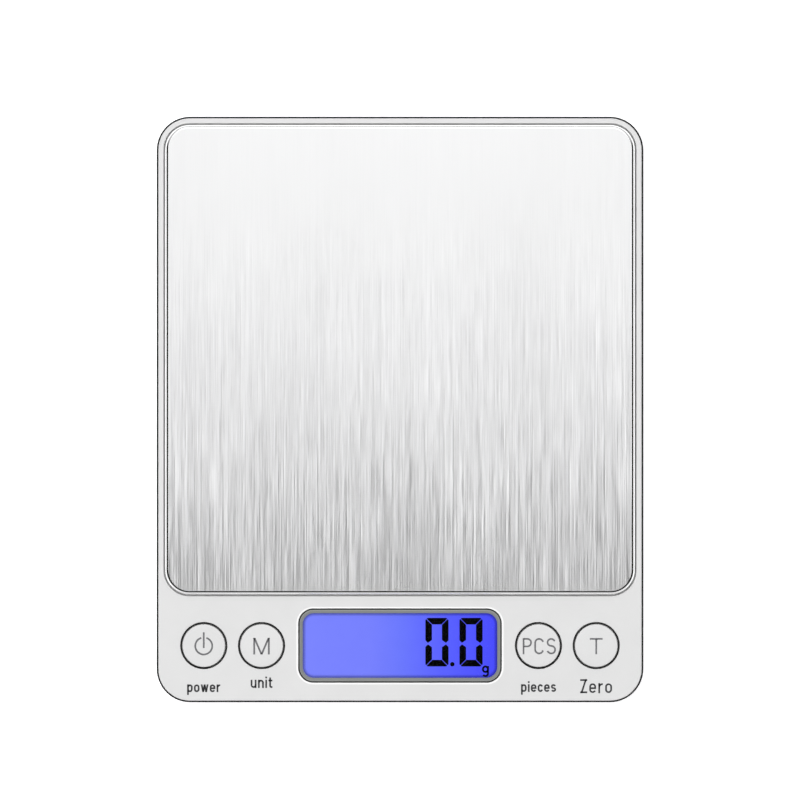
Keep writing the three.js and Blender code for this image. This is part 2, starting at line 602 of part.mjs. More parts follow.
add("display_bezel", displayBezel(), MATERIAL.bezelGrey);
add(
  "display_window",
  slab(LENS.width, LENS.length, LENS.corner, LENS.bottom, LENS.top, 0, CONTROLS_Y),
  MATERIAL.clearAcrylic,
);
add("lcd_front_polarizer", slab(FILM.width, FILM.length, 0.4, 14.3, 14.5, 0, CONTROLS_Y), MATERIAL.blueFilm);
add("lcd_glass", lcdGlass(), MATERIAL.lcdGlass);
add("lcd_rear_polarizer", slab(FILM.width, FILM.length, 0.4, 11.7, 11.9, 0, BACK_Y), MATERIAL.blueFilm);
add("backlight_guide", slab(FILM.width, FILM.length, 0.4, 9.8, 11.6, 0, BACK_Y), MATERIAL.lightGuide);
add("backlight_led", block([-24.4, -52.5, 9.8], [-22.1, -48, 11.4]), MATERIAL.ledYellow);
add("lcd_holder", lcdHolder(), MATERIAL.blackAbs);
add("zebra_strip", block([-21.3, -60.75, BOARD.top + TOUCH], [21.3, -58.95, 13.05]), MATERIAL.blackSilicone);

// ---------------------------------------------------------------- buttons and switches

const SWITCH = { size: 6, top: 13.1, bore: 1.85, plunger: 1.7, plungerTop: 14 };

function button(x) {
  const { radius, flange, flangeBottom, top } = BUTTON;
  const profile = [
    [0, flangeBottom - TOUCH],
    [2, flangeBottom - TOUCH],
    [2, flangeBottom],
    [flange, flangeBottom],
    [flange, flangeBottom + 0.6],
    [radius, flangeBottom + 0.6],
    [radius, top - 0.32],
    [radius - 0.2, top - 0.12],
    [radius - 1.6, top - 0.03],
    [0, top],
  ];
  return turned(profile, x, CONTROLS_Y, 24);
}

function switchBody(x) {
  const half = SWITCH.size / 2;
  return cut(
    block([x - half, CONTROLS_Y - half, BOARD.top + TOUCH], [x + half, CONTROLS_Y + half, SWITCH.top]),
    rod(SWITCH.bore, 11.5, SWITCH.top + CUT, x, CONTROLS_Y),
  );
}

// One silicone sheet seals each pair of buttons. Its collars stand in the gaps round the caps.
function keypadSeal(side) {
  const sheet = { width: 24.4, length: 13, bottom: 15, top: 15.6 };
  const centres = Object.values(BUTTON_X).filter((x) => x * side > 0);
  return cut(
    join(
      slab(sheet.width, sheet.length, 3, sheet.bottom, sheet.top, (centres[0] + centres[1]) / 2, CONTROLS_Y),
      ...centres.map((x) => rod(BUTTON.hole - 0.075, sheet.bottom, BODY.panel - 0.2, x, CONTROLS_Y, 24)),
    ),
    ...centres.map((x) => rod(BUTTON.radius + 0.15, sheet.bottom - CUT, BODY.panel, x, CONTROLS_Y, 24)),
  );
}

for (const [name, x] of Object.entries(BUTTON_X)) {
  add(`button_${name}`, button(x), MATERIAL.silverAbs);
  add(`switch_body_${name}`, switchBody(x), MATERIAL.blackAbs);
  add(`switch_plunger_${name}`, rod(SWITCH.plunger, 12, SWITCH.plungerTop, x, CONTROLS_Y), MATERIAL.blackAbs);
}
add("keypad_seal_left", keypadSeal(-1), MATERIAL.blackSilicone);
add("keypad_seal_right", keypadSeal(1), MATERIAL.blackSilicone);

// ---------------------------------------------------------------- main board

function mainBoard() {
  const length = BOARD.rear - BOARD.front;
  const y = (BOARD.front + BOARD.rear) / 2;
  return cut(
    slab(BOARD.width, length, 1, BOARD.bottom, BOARD.top, 0, y),
    ...[-1, 1].map((side) => rod(1.1, BOARD.bottom - CUT, BOARD.top + CUT, side * BOARD.screwX, BOARD.screwY, 12)),
  );
}

function capacitor(x, y) {
  const [foot, top, radius] = [BOARD.top + 0.05, 13.4, 2.1];
  const profile = [
    [0, foot],
    [radius, foot],
    [radius, foot + 0.6],
    [radius - 0.2, foot + 0.9],
    [radius, foot + 1.2],
    [radius, top - 0.2],
    [radius - 0.2, top],
    [0, top],
  ];
  return turned(profile, x, y, 20);
}

add("main_board", mainBoard(), MATERIAL.boardGreen);
add(
  "controller_epoxy",
  turned([[0, 9.65], [3.9, 9.65], [3.7, 10.1], [2.9, 10.7], [1.5, 11.1], [0, 11.2]], -14, -37.1, 24),
  MATERIAL.epoxyBlack,
);
add("capacitor", capacitor(10, -36.8), MATERIAL.aluminium);
[-1, 1].forEach((side, i) => {
  const screw = screwFromBelow(1.9, 6.6, BOARD.bottom - TOUCH, 0.85, 13, side * BOARD.screwX, BOARD.screwY);
  add(`board_screw_${i + 1}`, screw, MATERIAL.zincSteel);
});

// ---------------------------------------------------------------- cells, contacts and wires

// A cell lies along X with its positive nub towards the given side.
function cell(y, side) {
  const { radius, length, nub } = CELL;
  const profile = [
    [0, 0],
    [radius - 0.6, 0],
    [radius, 0.5],
    [radius, length - 1.3],
    [radius - 0.4, length - 0.9],
    [nub, length - 0.9],
    [nub, length - 0.15],
    [nub - 0.2, length],
    [0, length],
  ].map(([r, h]) => new THREE.Vector2(r, h));
  const end = side * (BAY.halfLength - 0.9);
  const lathe = new THREE.LatheGeometry(profile, 24).rotateZ((-side * Math.PI) / 2);
  return solid(lathe.translate(end - side * length, y, CELL.centre));
}

const SHEET = { outer: BAY.halfLength - 0.05, inner: BAY.halfLength - 0.35 };

// A contact sheet across one end of the bay. The side is +1 at the +X end.
function contactSheet(side, y0, y1) {
  const [x0, x1] = [side * SHEET.inner, side * SHEET.outer].sort((a, b) => a - b);
  return block([x0, y0, 4.3], [x1, y1, 12.3]);
}

// A conical spring from the contact sheet to the flat end of a cell.
function contactSpring(side, y) {
  const [turns, pointsPerTurn, wire] = [3, 9, 0.28];
  const [from, to] = [SHEET.inner + 0.1, SHEET.inner - 4.1];
  const count = turns * pointsPerTurn;
  const points = Array.from({ length: count + 1 }, (_, i) => {
    const [share, angle] = [i / count, (i / pointsPerTurn) * 2 * Math.PI];
    const radius = 3.6 - 1.4 * share;
    const x = side * (from + (to - from) * share);
    return [x, y + radius * Math.cos(angle), CELL.centre + radius * Math.sin(angle)];
  });
  return tube(smooth(points), wire, count, 6);
}

function contactNub(side, y) {
  const nub = new THREE.CylinderGeometry(1.6, 1.6, 0.8, 16).rotateZ(Math.PI / 2);
  return solid(nub.translate(side * (SHEET.inner - 0.1), y, CELL.centre));
}

const solderTab = (y) => block([SHEET.inner, y - 1.2, 10.6], [28.6, y + 1.2, 10.9]);

const [rowA, rowB] = cellRows();
const SPREAD = 4.5;
add("contact_positive", join(contactSheet(1, rowA - SPREAD, rowA + SPREAD), contactNub(1, rowA), solderTab(rowA)),
  MATERIAL.nickel);
add("contact_negative", join(contactSheet(1, rowB - SPREAD, rowB + SPREAD), contactSpring(1, rowB), solderTab(rowB)),
  MATERIAL.nickel);
add(
  "contact_link",
  join(contactSheet(-1, rowA - SPREAD, rowB + SPREAD), contactSpring(-1, rowA), contactNub(-1, rowB)),
  MATERIAL.nickel,
);
add("battery_1", cell(rowA, 1), MATERIAL.cellJacket);
add("battery_2", cell(rowB, -1), MATERIAL.cellJacket);

// The battery leads run from the solder tabs round the bay, along the floor and up on to the board's rear edge.
const leadPath = (y, offset) => smooth([
  [27.2, y, 11.6],
  [29.4, y - 0.4, 11.7],
  [31 + offset, y - 3.5, 8],
  [35 + offset, y - 9, 4.4],
  [36.5 + offset, 14, 4.1],
  [36.5 + offset, -8, 4.1],
  [36 + offset, -20, 4.3],
  [34 + offset, -27.5, 6.2],
  [32 + offset, -31.2, 9.6],
  [31 + offset, -33.6, 10.5],
  [30.5 + offset, -36, 10.15],
]);
add("battery_lead_red", tube(leadPath(rowA, 0), 0.5, 26, 6), MATERIAL.wireRed);
add("battery_lead_black", tube(leadPath(rowB, 2.2), 0.5, 28, 6), MATERIAL.wireBlack);

// Four bonded strands run from the side of the load cell to the board.
function loadCellRibbon() {
  const [radius, pitchX, pitchY] = [0.45, 0.7, -0.2];
  const spine = [
    [-12, 4.3, 8.6],
    [-12.3, 1.5, 7.9],
    [-14, -4, 5],
    [-18, -12, 4.1],
    [-23, -21, 4.2],
    [-26.5, -27.5, 6.2],
    [-28.5, -31.2, 9.6],
    [-29.3, -33.6, 10.5],
    [-30, -36, 10.1],
  ];
  const strands = [-1.5, -0.5, 0.5, 1.5].map((place) =>
    tube(smooth(spine.map(([x, y, z]) => [x + place * pitchX, y + place * pitchY, z])), radius, 16, 6));
  return join(...strands);
}
add("load_cell_ribbon", loadCellRibbon(), MATERIAL.wireGrey);

export default scale;
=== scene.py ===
"""A table-top digital gram scale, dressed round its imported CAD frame.

Lengths in this script are millimetres, in the frame's own axes: +X to the user's right, +Y away from the user and +Z
up. They turn into metres only where a mesh, a light or the camera is made.
"""

import json
import math

import bpy
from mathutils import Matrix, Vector


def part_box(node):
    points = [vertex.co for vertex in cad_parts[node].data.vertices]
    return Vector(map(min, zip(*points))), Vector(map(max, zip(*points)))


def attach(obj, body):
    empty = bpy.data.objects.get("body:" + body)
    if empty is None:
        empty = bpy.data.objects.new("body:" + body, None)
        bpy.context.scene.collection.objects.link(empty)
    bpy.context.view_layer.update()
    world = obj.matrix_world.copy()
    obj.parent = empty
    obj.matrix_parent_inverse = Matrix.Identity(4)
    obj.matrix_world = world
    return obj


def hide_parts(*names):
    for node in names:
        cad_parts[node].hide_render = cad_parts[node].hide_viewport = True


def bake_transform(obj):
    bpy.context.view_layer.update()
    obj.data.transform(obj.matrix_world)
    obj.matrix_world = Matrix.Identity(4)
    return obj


MM = 0.001
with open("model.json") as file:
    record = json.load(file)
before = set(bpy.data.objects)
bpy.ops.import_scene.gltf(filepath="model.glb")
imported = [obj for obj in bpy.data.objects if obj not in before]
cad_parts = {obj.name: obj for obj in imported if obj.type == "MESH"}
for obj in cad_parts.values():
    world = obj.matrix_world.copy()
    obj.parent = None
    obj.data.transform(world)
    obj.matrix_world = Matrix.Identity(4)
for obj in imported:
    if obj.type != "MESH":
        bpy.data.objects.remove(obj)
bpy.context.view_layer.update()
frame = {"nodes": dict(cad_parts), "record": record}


# ---- the frame's sizes


class Extent:
    """A CAD node's box at rest, in millimetres."""

    def __init__(self, node):
        low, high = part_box(node)
        self.low = low / MM
        self.high = high / MM
        self.size = self.high - self.low
        self.centre = (self.low + self.high) / 2
        self.at = self.centre.xy


COVER = Extent("upper_housing")
BASE = Extent("lower_housing")
PLATE = Extent("platform_plate")
BEZEL = Extent("display_bezel")
WINDOW = Extent("display_window")
LCD_FILM = Extent("lcd_front_polarizer")
DOOR = Extent("battery_door")
LOAD_CELL = Extent("load_cell")
CORNERS = [f"{end}_{side}" for end in ("front", "rear") for side in ("left", "right")]
HOUSING_SCREWS = [Extent(f"housing_screw_{corner}") for corner in CORNERS]
LOAD_CELL_SCREWS = [Extent(f"load_cell_screw_{i}") for i in (1, 2)]
FEET = {corner: Extent(f"rubber_foot_{corner}") for corner in CORNERS}
CELL_ROWS = [Extent(f"battery_{i}").centre.y for i in (1, 2)]
BUTTONS = ("power", "mode", "count", "tare")
BUTTON = {name: Extent(f"button_{name}") for name in BUTTONS}
SEALS = {"left": Extent("keypad_seal_left"), "right": Extent("keypad_seal_right")}
PANEL_Z = COVER.high.z
CONTROLS_Y = BEZEL.centre.y

WALL = 1.4
SEAM_Z = 12  # the base ends here, and the cover starts a little above it
SEAM_GAP = 0.2
BASE_CORNER = 7.3
COVER_CORNER = BASE_CORNER - (BASE.size.x - COVER.size.x) / 2
WELL_GAP = 0.35
WELL_FLOOR = (13.8, 15)  # its underside and its top
PLATE_CORNER = 5.3
BEND_RADIUS = 0.8
SHEET_THICKNESS = 0.5
DISPLAY_OPENING = (42.4, 14.1, 2.4)  # width, length and corner radius
BEZEL_CORNER = 3.2
HOLE_RADIUS = 5.125
CAP_RADIUS = 4.65
BAY = {"half_length": 25.2, "front": 32.3, "rear": 55.2, "wall": 1.2, "top": 13.6}
HINGE_Y, HINGE_Z = 56.6, 2.0
DOOR_FRONT = 30.7
PIN_LENGTH = 1.25
DOOR_HALF = DOOR.size.x / 2 - PIN_LENGTH  # half the width of its plate


# ---- solids


def make_object(name, vertices, faces):
    """A mesh object from millimetre coordinates."""
    mesh = bpy.data.meshes.new(name)
    mesh.from_pydata([Vector(v) * MM for v in vertices], [], faces)
    mesh.validate()
    made = bpy.data.objects.new(name, mesh)
    bpy.context.scene.collection.objects.link(made)
    return made


def rounded_outline(width, length, radius, steps=14):
    """The corners of a rounded rectangle, counter-clockwise, always the same number of them."""
    points = []
    for quarter, (side_x, side_y) in enumerate(((1, 1), (-1, 1), (-1, -1), (1, -1))):
        for step in range(steps + 1):
            angle = (quarter + step / steps) * math.pi / 2
            points.append((
                side_x * (width / 2 - radius) + radius * math.cos(angle),
                side_y * (length / 2 - radius) + radius * math.sin(angle),
            ))
    return points


def closed_through(name, rings):
    """A solid through rings of as many points each, from the bottom up, with flat ends."""
    count = len(rings[0])
    faces = [tuple(reversed(range(count)))]
    for ring in range(len(rings) - 1):
        for i in range(count):
            a = ring * count + i
            b = ring * count + (i + 1) % count
            faces.append((a, b, b + count, a + count))
    top = (len(rings) - 1) * count
    faces.append(tuple(range(top, top + count)))
    return make_object(name, [point for ring in rings for point in ring], faces)


def stacked(name, width, length, corner, sections, x=0, y=0, steps=14):
    """A solid through rounded rectangles. Each section is (height, inset), from the bottom up."""
    rings = [
        [
            (x + px, y + py, z)
            for px, py in rounded_outline(width - 2 * inset, length - 2 * inset, corner - inset, steps)
        ]
        for z, inset in sections
    ]
    return closed_through(name, rings)


def at_controls(name, width, length, corner, sections):
    """A solid through rounded rectangles round the middle of the display."""
    return stacked(name, width, length, corner, sections, 0, CONTROLS_Y)


def turned(name, profile, x=0, y=0, segments=96):
    """A solid of revolution about a vertical axis. The profile is (radius, height), from the bottom up."""
    rings = [
        [
            (x + radius * math.cos(2 * math.pi * i / segments), y + radius * math.sin(2 * math.pi * i / segments), z)
            for i in range(segments)
        ]
        for radius, z in profile
    ]
    return closed_through(name, rings)


def block(name, low, high):
    """A box between two corners."""
    corners = ((low[0], low[1]), (high[0], low[1]), (high[0], high[1]), (low[0], high[1]))
    return closed_through(name, [[(x, y, z) for x, y in corners] for z in (low[2], high[2])])


def lying(made, x, y, z, turn=1):
    """Turns a solid made about the vertical axis to point along +X, or -X, and moves it to a place."""
    for vertex in made.data.vertices:
        px, py, pz = vertex.co
        vertex.co = Vector((turn * pz, py, -turn * px)) + Vector((x, y, z)) * MM
    return made


def rounded_edge(radius, z, inset, upper=True, steps=5):
    """Sections of a rounded outer edge. z is the height where the rounding meets the upright wall."""
    sections = []
    for step in range(steps + 1):
        angle = (step if upper else steps - step) / steps * math.pi / 2
        rise = radius * math.sin(angle)
        sections.append((z + (rise if upper else -rise), inset + radius * (1 - math.cos(angle))))
    return sections


def flared(radius, top, steps=4):
    """Sections of a cutter whose mouth opens out to leave a rounded edge round a hole. top is the face it cuts."""
    sections = []
    for step in range(steps + 1):
        angle = step / steps * math.pi / 2
        sections.append((top - radius + radius * math.sin(angle), -radius * (1 - math.cos(angle))))
    return sections + [(top + 1, -radius)]


def combine(target, operation, tools):
    """Applies a boolean of the tools to the target, and removes them."""
    for tool in tools:
        modifier = target.modifiers.new("combine", "BOOLEAN")
        modifier.operation = operation
        modifier.solver = "EXACT"
        modifier.object = tool
    bpy.context.view_layer.update()
    evaluated = target.evaluated_get(bpy.context.evaluated_depsgraph_get())
    mesh = bpy.data.meshes.new_from_object(evaluated)
    target.modifiers.clear()
    target.data = mesh
    for tool in tools:
        bpy.data.objects.remove(tool)


def join(target, *tools):
    """Joins the tools to the target."""
    combine(target, "UNION", tools)


def cut(target, *tools):
    """Cuts the tools from the target."""
    combine(target, "DIFFERENCE", tools)


def surface(made, slot, material=None, angle=32):
    """Smooth shading with creases that keep the flat faces flat, and the material of a slot, or another."""
    made.data.shade_smooth()
    made.data.set_sharp_from_angle(angle=math.radians(angle))
    made.modifiers.new("weighted normals", "WEIGHTED_NORMAL").keep_sharp = True
    made.data.materials.clear()
    made.data.materials.append(material or MATERIALS[slot])


def dress(made, slot, *nodes, body="body", material=None, angle=32):
    """Finishes a piece: its shading and material, its body, and the CAD nodes that it stands for."""
    surface(made, slot, material, angle)
    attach(made, body)
    if nodes:
        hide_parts(*nodes)


# ---- materials


def linear(red, green, blue):
    """A display colour, 0 to 255, as the linear colour that a shader takes."""

    def channel(value):
        value /= 255
        return value / 12.92 if value <= 0.04045 else ((value + 0.055) / 1.055) ** 2.4

    return (channel(red), channel(green), channel(blue), 1)


class Graph:
    """Builds the nodes of a material or of the world. A node's inputs are given by name, as values or as sockets."""

    def __init__(self, name, kind=bpy.data.materials, shader="Principled BSDF"):
        self.material = kind.new(name)
        self.material.use_nodes = True
        self.nodes = self.material.node_tree.nodes
        self.links = self.material.node_tree.links
        self.shader = self.nodes[shader]

    def put(self, target, value):
        """Links a socket to an input, or sets the input to a value."""
        if isinstance(value, bpy.types.NodeSocket):
            self.links.new(value, target)
        else:
            target.default_value = value

    def add(self, kind, inputs=None, **settings):
        """A new shader node of a kind."""
        made = self.nodes.new("ShaderNode" + kind)
        for name, value in settings.items():
            setattr(made, name, value)
        for name, value in (inputs or {}).items():
            self.put(made.inputs[name], value)
        return made

    def set(self, **inputs):
        """Sets the shader's inputs, named with underscores for spaces, and gives the material."""
        for name, value in inputs.items():
            self.put(self.shader.inputs[name.replace("_", " ")], value)
        return self.material

    def place(self, scale=(1, 1, 1)):
        """The object's own coordinates in millimetres, scaled."""
        coordinates = self.add("TexCoord").outputs["Object"]
        factors = tuple(s / MM for s in scale)
        return self.add("Mapping", {"Vector": coordinates, "Scale": factors}).outputs["Vector"]

    def axes(self):
        """The object's own X, Y and Z in millimetres."""
        return self.add("SeparateXYZ", {"Vector": self.place()}).outputs

    def noise(self, period, detail=2, roughness=0.5, stretch=(1, 1, 1)):
        """Noise with features about a period of millimetres wide. stretch lengthens it along an axis."""
        vector = self.place(tuple(1 / (period * s) for s in stretch))
        inputs = {"Vector": vector, "Scale": 1, "Detail": detail, "Roughness": roughness}
        return self.add("TexNoise", inputs).outputs["Fac"]

    def spread(self, value, low, high, start=0.3, end=0.7, **settings):
        """Maps a range, by default a noise's usual one, on to low to high."""
        inputs = {"Value": value, "From Min": start, "From Max": end, "To Min": low, "To Max": high}
        return self.add("MapRange", inputs, **settings).outputs["Result"]

    def math(self, operation, first, second=0.0):
        """The result of one operation on two values or sockets."""
        return self.add("Math", {0: first, 1: second}, operation=operation).outputs["Value"]

    def shade(self, color, factor):
        """A colour made lighter or darker by a factor that varies over the surface."""
        return self.add("VectorMath", {"Vector": color, "Scale": factor}, operation="SCALE").outputs["Vector"]

    def inside(self, y, width, length, corner):
        """How far a point is inside a rounded rectangle centred on X = 0 and a Y, in millimetres."""
        position = self.axes()
        off_x = self.math("SUBTRACT", self.math("ABSOLUTE", position["X"]), width / 2 - corner)
        off_y = self.math("ABSOLUTE", self.math("SUBTRACT", position["Y"], y))
        off_y = self.math("SUBTRACT", off_y, length / 2 - corner)
        outside = self.add("CombineXYZ", {
            "X": self.math("MAXIMUM", off_x, 0),
            "Y": self.math("MAXIMUM", off_y, 0),
        }).outputs["Vector"]
        from_core = self.add("VectorMath", {0: outside}, operation="LENGTH").outputs["Value"]
        within = self.math("MINIMUM", self.math("MAXIMUM", off_x, off_y), 0)
        return self.math("SUBTRACT", corner, self.math("ADD", from_core, within))

    def bump(self, height, depth):
        """Relief of a depth in millimetres."""
        return self.add("Bump", {"Height": height, "Distance": depth * MM, "Strength": 1.0}).outputs["Normal"]


def plastic_graph(name, color, roughness, grain=0.12, depth=0.004, mottle=0.02, metallic=0.0, specular=0.5):
    """Spark-eroded plastic: a fine grain in relief, and slight unevenness in tone and gloss."""
    graph = Graph(name)
    cloudy = graph.noise(9, detail=3)
    speckle = graph.noise(grain, detail=2)
    tone = graph.math("MULTIPLY", graph.spread(cloudy, 1 - mottle, 1 + mottle), graph.spread(speckle, 0.99, 1.01))
    graph.set(
        Base_Color=graph.shade(color, tone),
        Metallic=metallic,
        Specular_IOR_Level=specular,
        Roughness=graph.spread(cloudy, roughness - 0.03, roughness + 0.03),
        Normal=graph.bump(speckle, depth),
    )
    return graph


def moulded_plastic(*look, **details):
    """A material of moulded plastic. See plastic_graph."""
    return plastic_graph(*look, **details).material


def cover_plastic():
    """The cover's silver-grey ABS, with a painted highlight: a thin white band round the display, just outside the
    bezel.
    """
    graph = plastic_graph("silver-grey ABS", (0.535, 0.535, 0.535), 0.42)
    # Painted highlight: the light that the bezel's outer edge catches, laid on the panel as white.
    white = (0.74, 0.74, 0.74, 1)
    painted_highlight_width = 0.6  # beyond the bezel, at the sides
    depth = graph.inside(
        CONTROLS_Y, BEZEL.size.x + 2 * painted_highlight_width, BEZEL.size.y + 1.1, BEZEL_CORNER + painted_highlight_width,
    )
    on_panel = graph.math("GREATER_THAN", graph.axes()["Z"], PANEL_Z - 0.3)
    painted_highlight = graph.math("MULTIPLY", graph.spread(depth, 0, 1, 0, 0.25), on_panel)
    grey = graph.shader.inputs["Base Color"].links[0].from_socket
    mixed = graph.add("Mix", {"Factor": painted_highlight}, data_type="RGBA")
    graph.put(mixed.inputs["A"], grey)
    graph.put(mixed.inputs["B"], white)
    return graph.set(Base_Color=mixed.outputs["Result"])


def brushed_steel():
    """Steel brushed along Y: fine scratches of two lengths that tilt the surface and tint it, both more strongly
    towards the front of the plate; the tint's growth towards the front is painted shade. The pressed edge is
    smoother."""
    graph = Graph("brushed steel")
    edge_roughness = 0.11
    steepest = 0.071  # the tilt of the deepest scratches
    # the scratches' tint, random in itself; its growth towards the front (below) is painted shade
    grain_and_painted_shade = 0.62
    long = graph.noise(0.11, detail=1, stretch=(1, 330, 1))
    short = graph.noise(0.1, detail=1, stretch=(1, 100, 1))
    scratch = graph.math("MULTIPLY", graph.math("ADD", long, short), 0.5)
    cloudy = graph.noise(22, detail=2, stretch=(1, 2.5, 1))
    normal = graph.add("NewGeometry").outputs["Normal"]
    upright = graph.add("SeparateXYZ", {"Vector": normal}).outputs["Z"]
    flat = graph.spread(upright, 0, 1, start=0.99, end=0.9995)
    towards_front = graph.math("POWER", graph.spread(graph.axes()["Y"], 1.0, 0.03, start=-42, end=48), 0.75)
    depth = graph.math("MULTIPLY", towards_front, flat)
    tilt = graph.math("MULTIPLY", graph.spread(scratch, -steepest, steepest, start=0.36, end=0.64), depth)
    tilt = graph.math("ADD", tilt, graph.math("MULTIPLY", graph.spread(cloudy, -0.006, 0.006), flat))
    lean = graph.add("CombineXYZ", {"Y": tilt}).outputs["Vector"]
    leaning = graph.add("VectorMath", {0: normal, 1: lean}, operation="ADD").outputs["Vector"]
    unit = graph.add("VectorMath", {0: leaning}, operation="NORMALIZE").outputs["Vector"]
    tangent = graph.add("Tangent", direction_type="UV_MAP", uv_map="brushing").outputs["Tangent"]
    # Painted shade: the tint's contrast grows towards the front, after the fall-off of the light across the plate.
    tone = graph.math("MULTIPLY", graph.math("SUBTRACT", scratch, 0.5), graph.math("MULTIPLY", depth, grain_and_painted_shade))
    rougher = graph.math("SUBTRACT", graph.spread(scratch, 0.345, 0.3), edge_roughness)
    return graph.set(
        Base_Color=graph.shade((0.86, 0.862, 0.865), graph.math("ADD", tone, 1.0)),
        Metallic=1.0,
        Roughness=graph.math("ADD", edge_roughness, graph.math("MULTIPLY", flat, rougher)),
        Anisotropic=0.2,
        Tangent=tangent,
        Normal=unit,
    )


def plain_metal(name, color, roughness, stretch=(1, 1, 1)):
    """Metal with fine marks in relief and gloss, and faint stains. stretch lengthens the marks along an axis."""
    graph = Graph(name)
    marks = graph.noise(0.4, detail=4, roughness=0.6, stretch=stretch)
    stains = graph.noise(6, detail=2)
    return graph.set(
        Base_Color=graph.shade(color, graph.spread(stains, 0.93, 1.03)),
        Metallic=1.0,
        Roughness=graph.spread(marks, roughness - 0.07, roughness + 0.07),
        Normal=graph.bump(marks, 0.002),
    )


def rubber(name, color, roughness=0.75):
    """Rubber, silicone or sleeving: dusty in patches, with fine pores in relief."""
    graph = Graph(name)
    dust = graph.noise(1.3, detail=4, roughness=0.65)
    pores = graph.noise(0.1, detail=2)
    return graph.set(
        Base_Color=graph.shade(color, graph.spread(dust, 0.85, 1.2)),
        Roughness=graph.spread(dust, roughness - 0.08, roughness + 0.08),
        Normal=graph.bump(pores, 0.006),
    )


def lcd_blue():
    """The lit film: a blue that deepens away from the LED at the left, shaded along the edge of the opening."""
    graph = Graph("backlit blue film")
    width, length, corner = DISPLAY_OPENING
    along = graph.math("DIVIDE", graph.math("ADD", graph.axes()["X"], width / 2), width)
    ramp = graph.add("ValToRGB", {"Fac": along})
    stops = (
        (0.0, (123, 133, 253)),
        (0.35, (119, 129, 252)),
        (0.51, (107, 120, 251)),
        (0.70, (92, 100, 255)),
        (1.0, (72, 75, 250)),
    )
    elements = ramp.color_ramp.elements
    while len(elements) < len(stops):
        elements.new(0.5)
    for element, (at, color) in zip(elements, stops):
        element.position = at
        element.color = linear(*color)
    depth = graph.inside(CONTROLS_Y, width, length, corner)
    edge_shade = graph.spread(depth, 0.42, 1.0, start=0.1, end=0.75)
    grain = graph.spread(graph.noise(2.5, detail=2), 0.985, 1.015)
    return graph.set(
        Base_Color=(0.01, 0.012, 0.05, 1),
        Roughness=0.5,
        Specular_IOR_Level=0.1,
        Emission_Color=graph.shade(ramp.outputs["Color"], graph.math("MULTIPLY", edge_shade, grain)),
        Emission_Strength=1.09,
    )


def clear_window():
    """Clear acrylic with a faint haze."""
    graph = Graph("clear acrylic")
    haze = graph.noise(4, detail=3)
    return graph.set(
        Base_Color=(0.98, 0.985, 1, 1),
        Roughness=graph.spread(haze, 0.015, 0.04),
        IOR=1.49,
        Transmission_Weight=1.0,
    )


def ink(name, color, roughness=0.5):
    """Printing ink of slightly uneven cover."""
    graph = Graph(name)
    coverage = graph.noise(0.35, detail=3)
    return graph.set(
        Base_Color=graph.shade(color, graph.spread(coverage, 0.9, 1.12)),
        Roughness=graph.spread(coverage, roughness - 0.05, roughness + 0.05),
    )


MATERIALS = {
    "silver_abs": cover_plastic(),
    "charcoal_abs": moulded_plastic("charcoal ABS", (0.011, 0.0115, 0.0125), 0.5, mottle=0.06, specular=0.25),
    "white_abs": moulded_plastic("white ABS", (0.72, 0.72, 0.71), 0.5),
    "bezel_grey": moulded_plastic("bezel grey", (0.235, 0.245, 0.235), 0.3, grain=0.25, depth=0.002, metallic=0.25),
    "brushed_steel": brushed_steel(),
    "zinc_steel": plain_metal("zinc-plated steel", (0.55, 0.56, 0.58), 0.35),
    "aluminium": plain_metal("milled aluminium", (0.66, 0.67, 0.69), 0.38, stretch=(12, 1, 1)),
    "nickel": plain_metal("nickel plate", (0.7, 0.68, 0.62), 0.25),
    "black_silicone": rubber("black silicone", (0.008, 0.008, 0.008), 0.6),
    "foot_rubber": rubber("foot rubber", (0.045, 0.046, 0.05)),
    "white_silicone": rubber("white sealant", (0.8, 0.8, 0.77), 0.4),
    "clear_acrylic": clear_window(),
    "lcd_glass": plain_metal("lcd glass", (0.05, 0.06, 0.1), 0.12),
    "blue_film": lcd_blue(),
    "light_guide": moulded_plastic("light guide", (0.75, 0.8, 0.95), 0.25, grain=0.5),
    "led": moulded_plastic("phosphor", (0.8, 0.68, 0.2), 0.4),
    "black_abs": moulded_plastic("black ABS", (0.014, 0.014, 0.016), 0.5, mottle=0.06),
    "board": moulded_plastic("solder mask", (0.015, 0.13, 0.04), 0.35, grain=0.6),
    "epoxy": moulded_plastic("epoxy", (0.006, 0.006, 0.007), 0.2, grain=1.2),
    "adhesive": rubber("foam tape", (0.6, 0.56, 0.4)),
    "cell_jacket": moulded_plastic("cell jacket", (0.03, 0.09, 0.24), 0.3, grain=0.8, metallic=0.2),
    "wire_red": rubber("red sleeve", (0.5, 0.015, 0.015), 0.45),
    "wire_black": rubber("black sleeve", (0.012, 0.012, 0.012), 0.45),
    "wire_ribbon": rubber("grey sleeve", (0.32, 0.32, 0.32), 0.45),
}
LEGEND_GREY = ink("legend grey", (0.11, 0.11, 0.115))
CAPTION_BLACK = ink("caption black", (0.022, 0.022, 0.024))
SEGMENT_BLACK = ink("liquid crystal", (0.001, 0.001, 0.004), 0.3)


# ---- housings


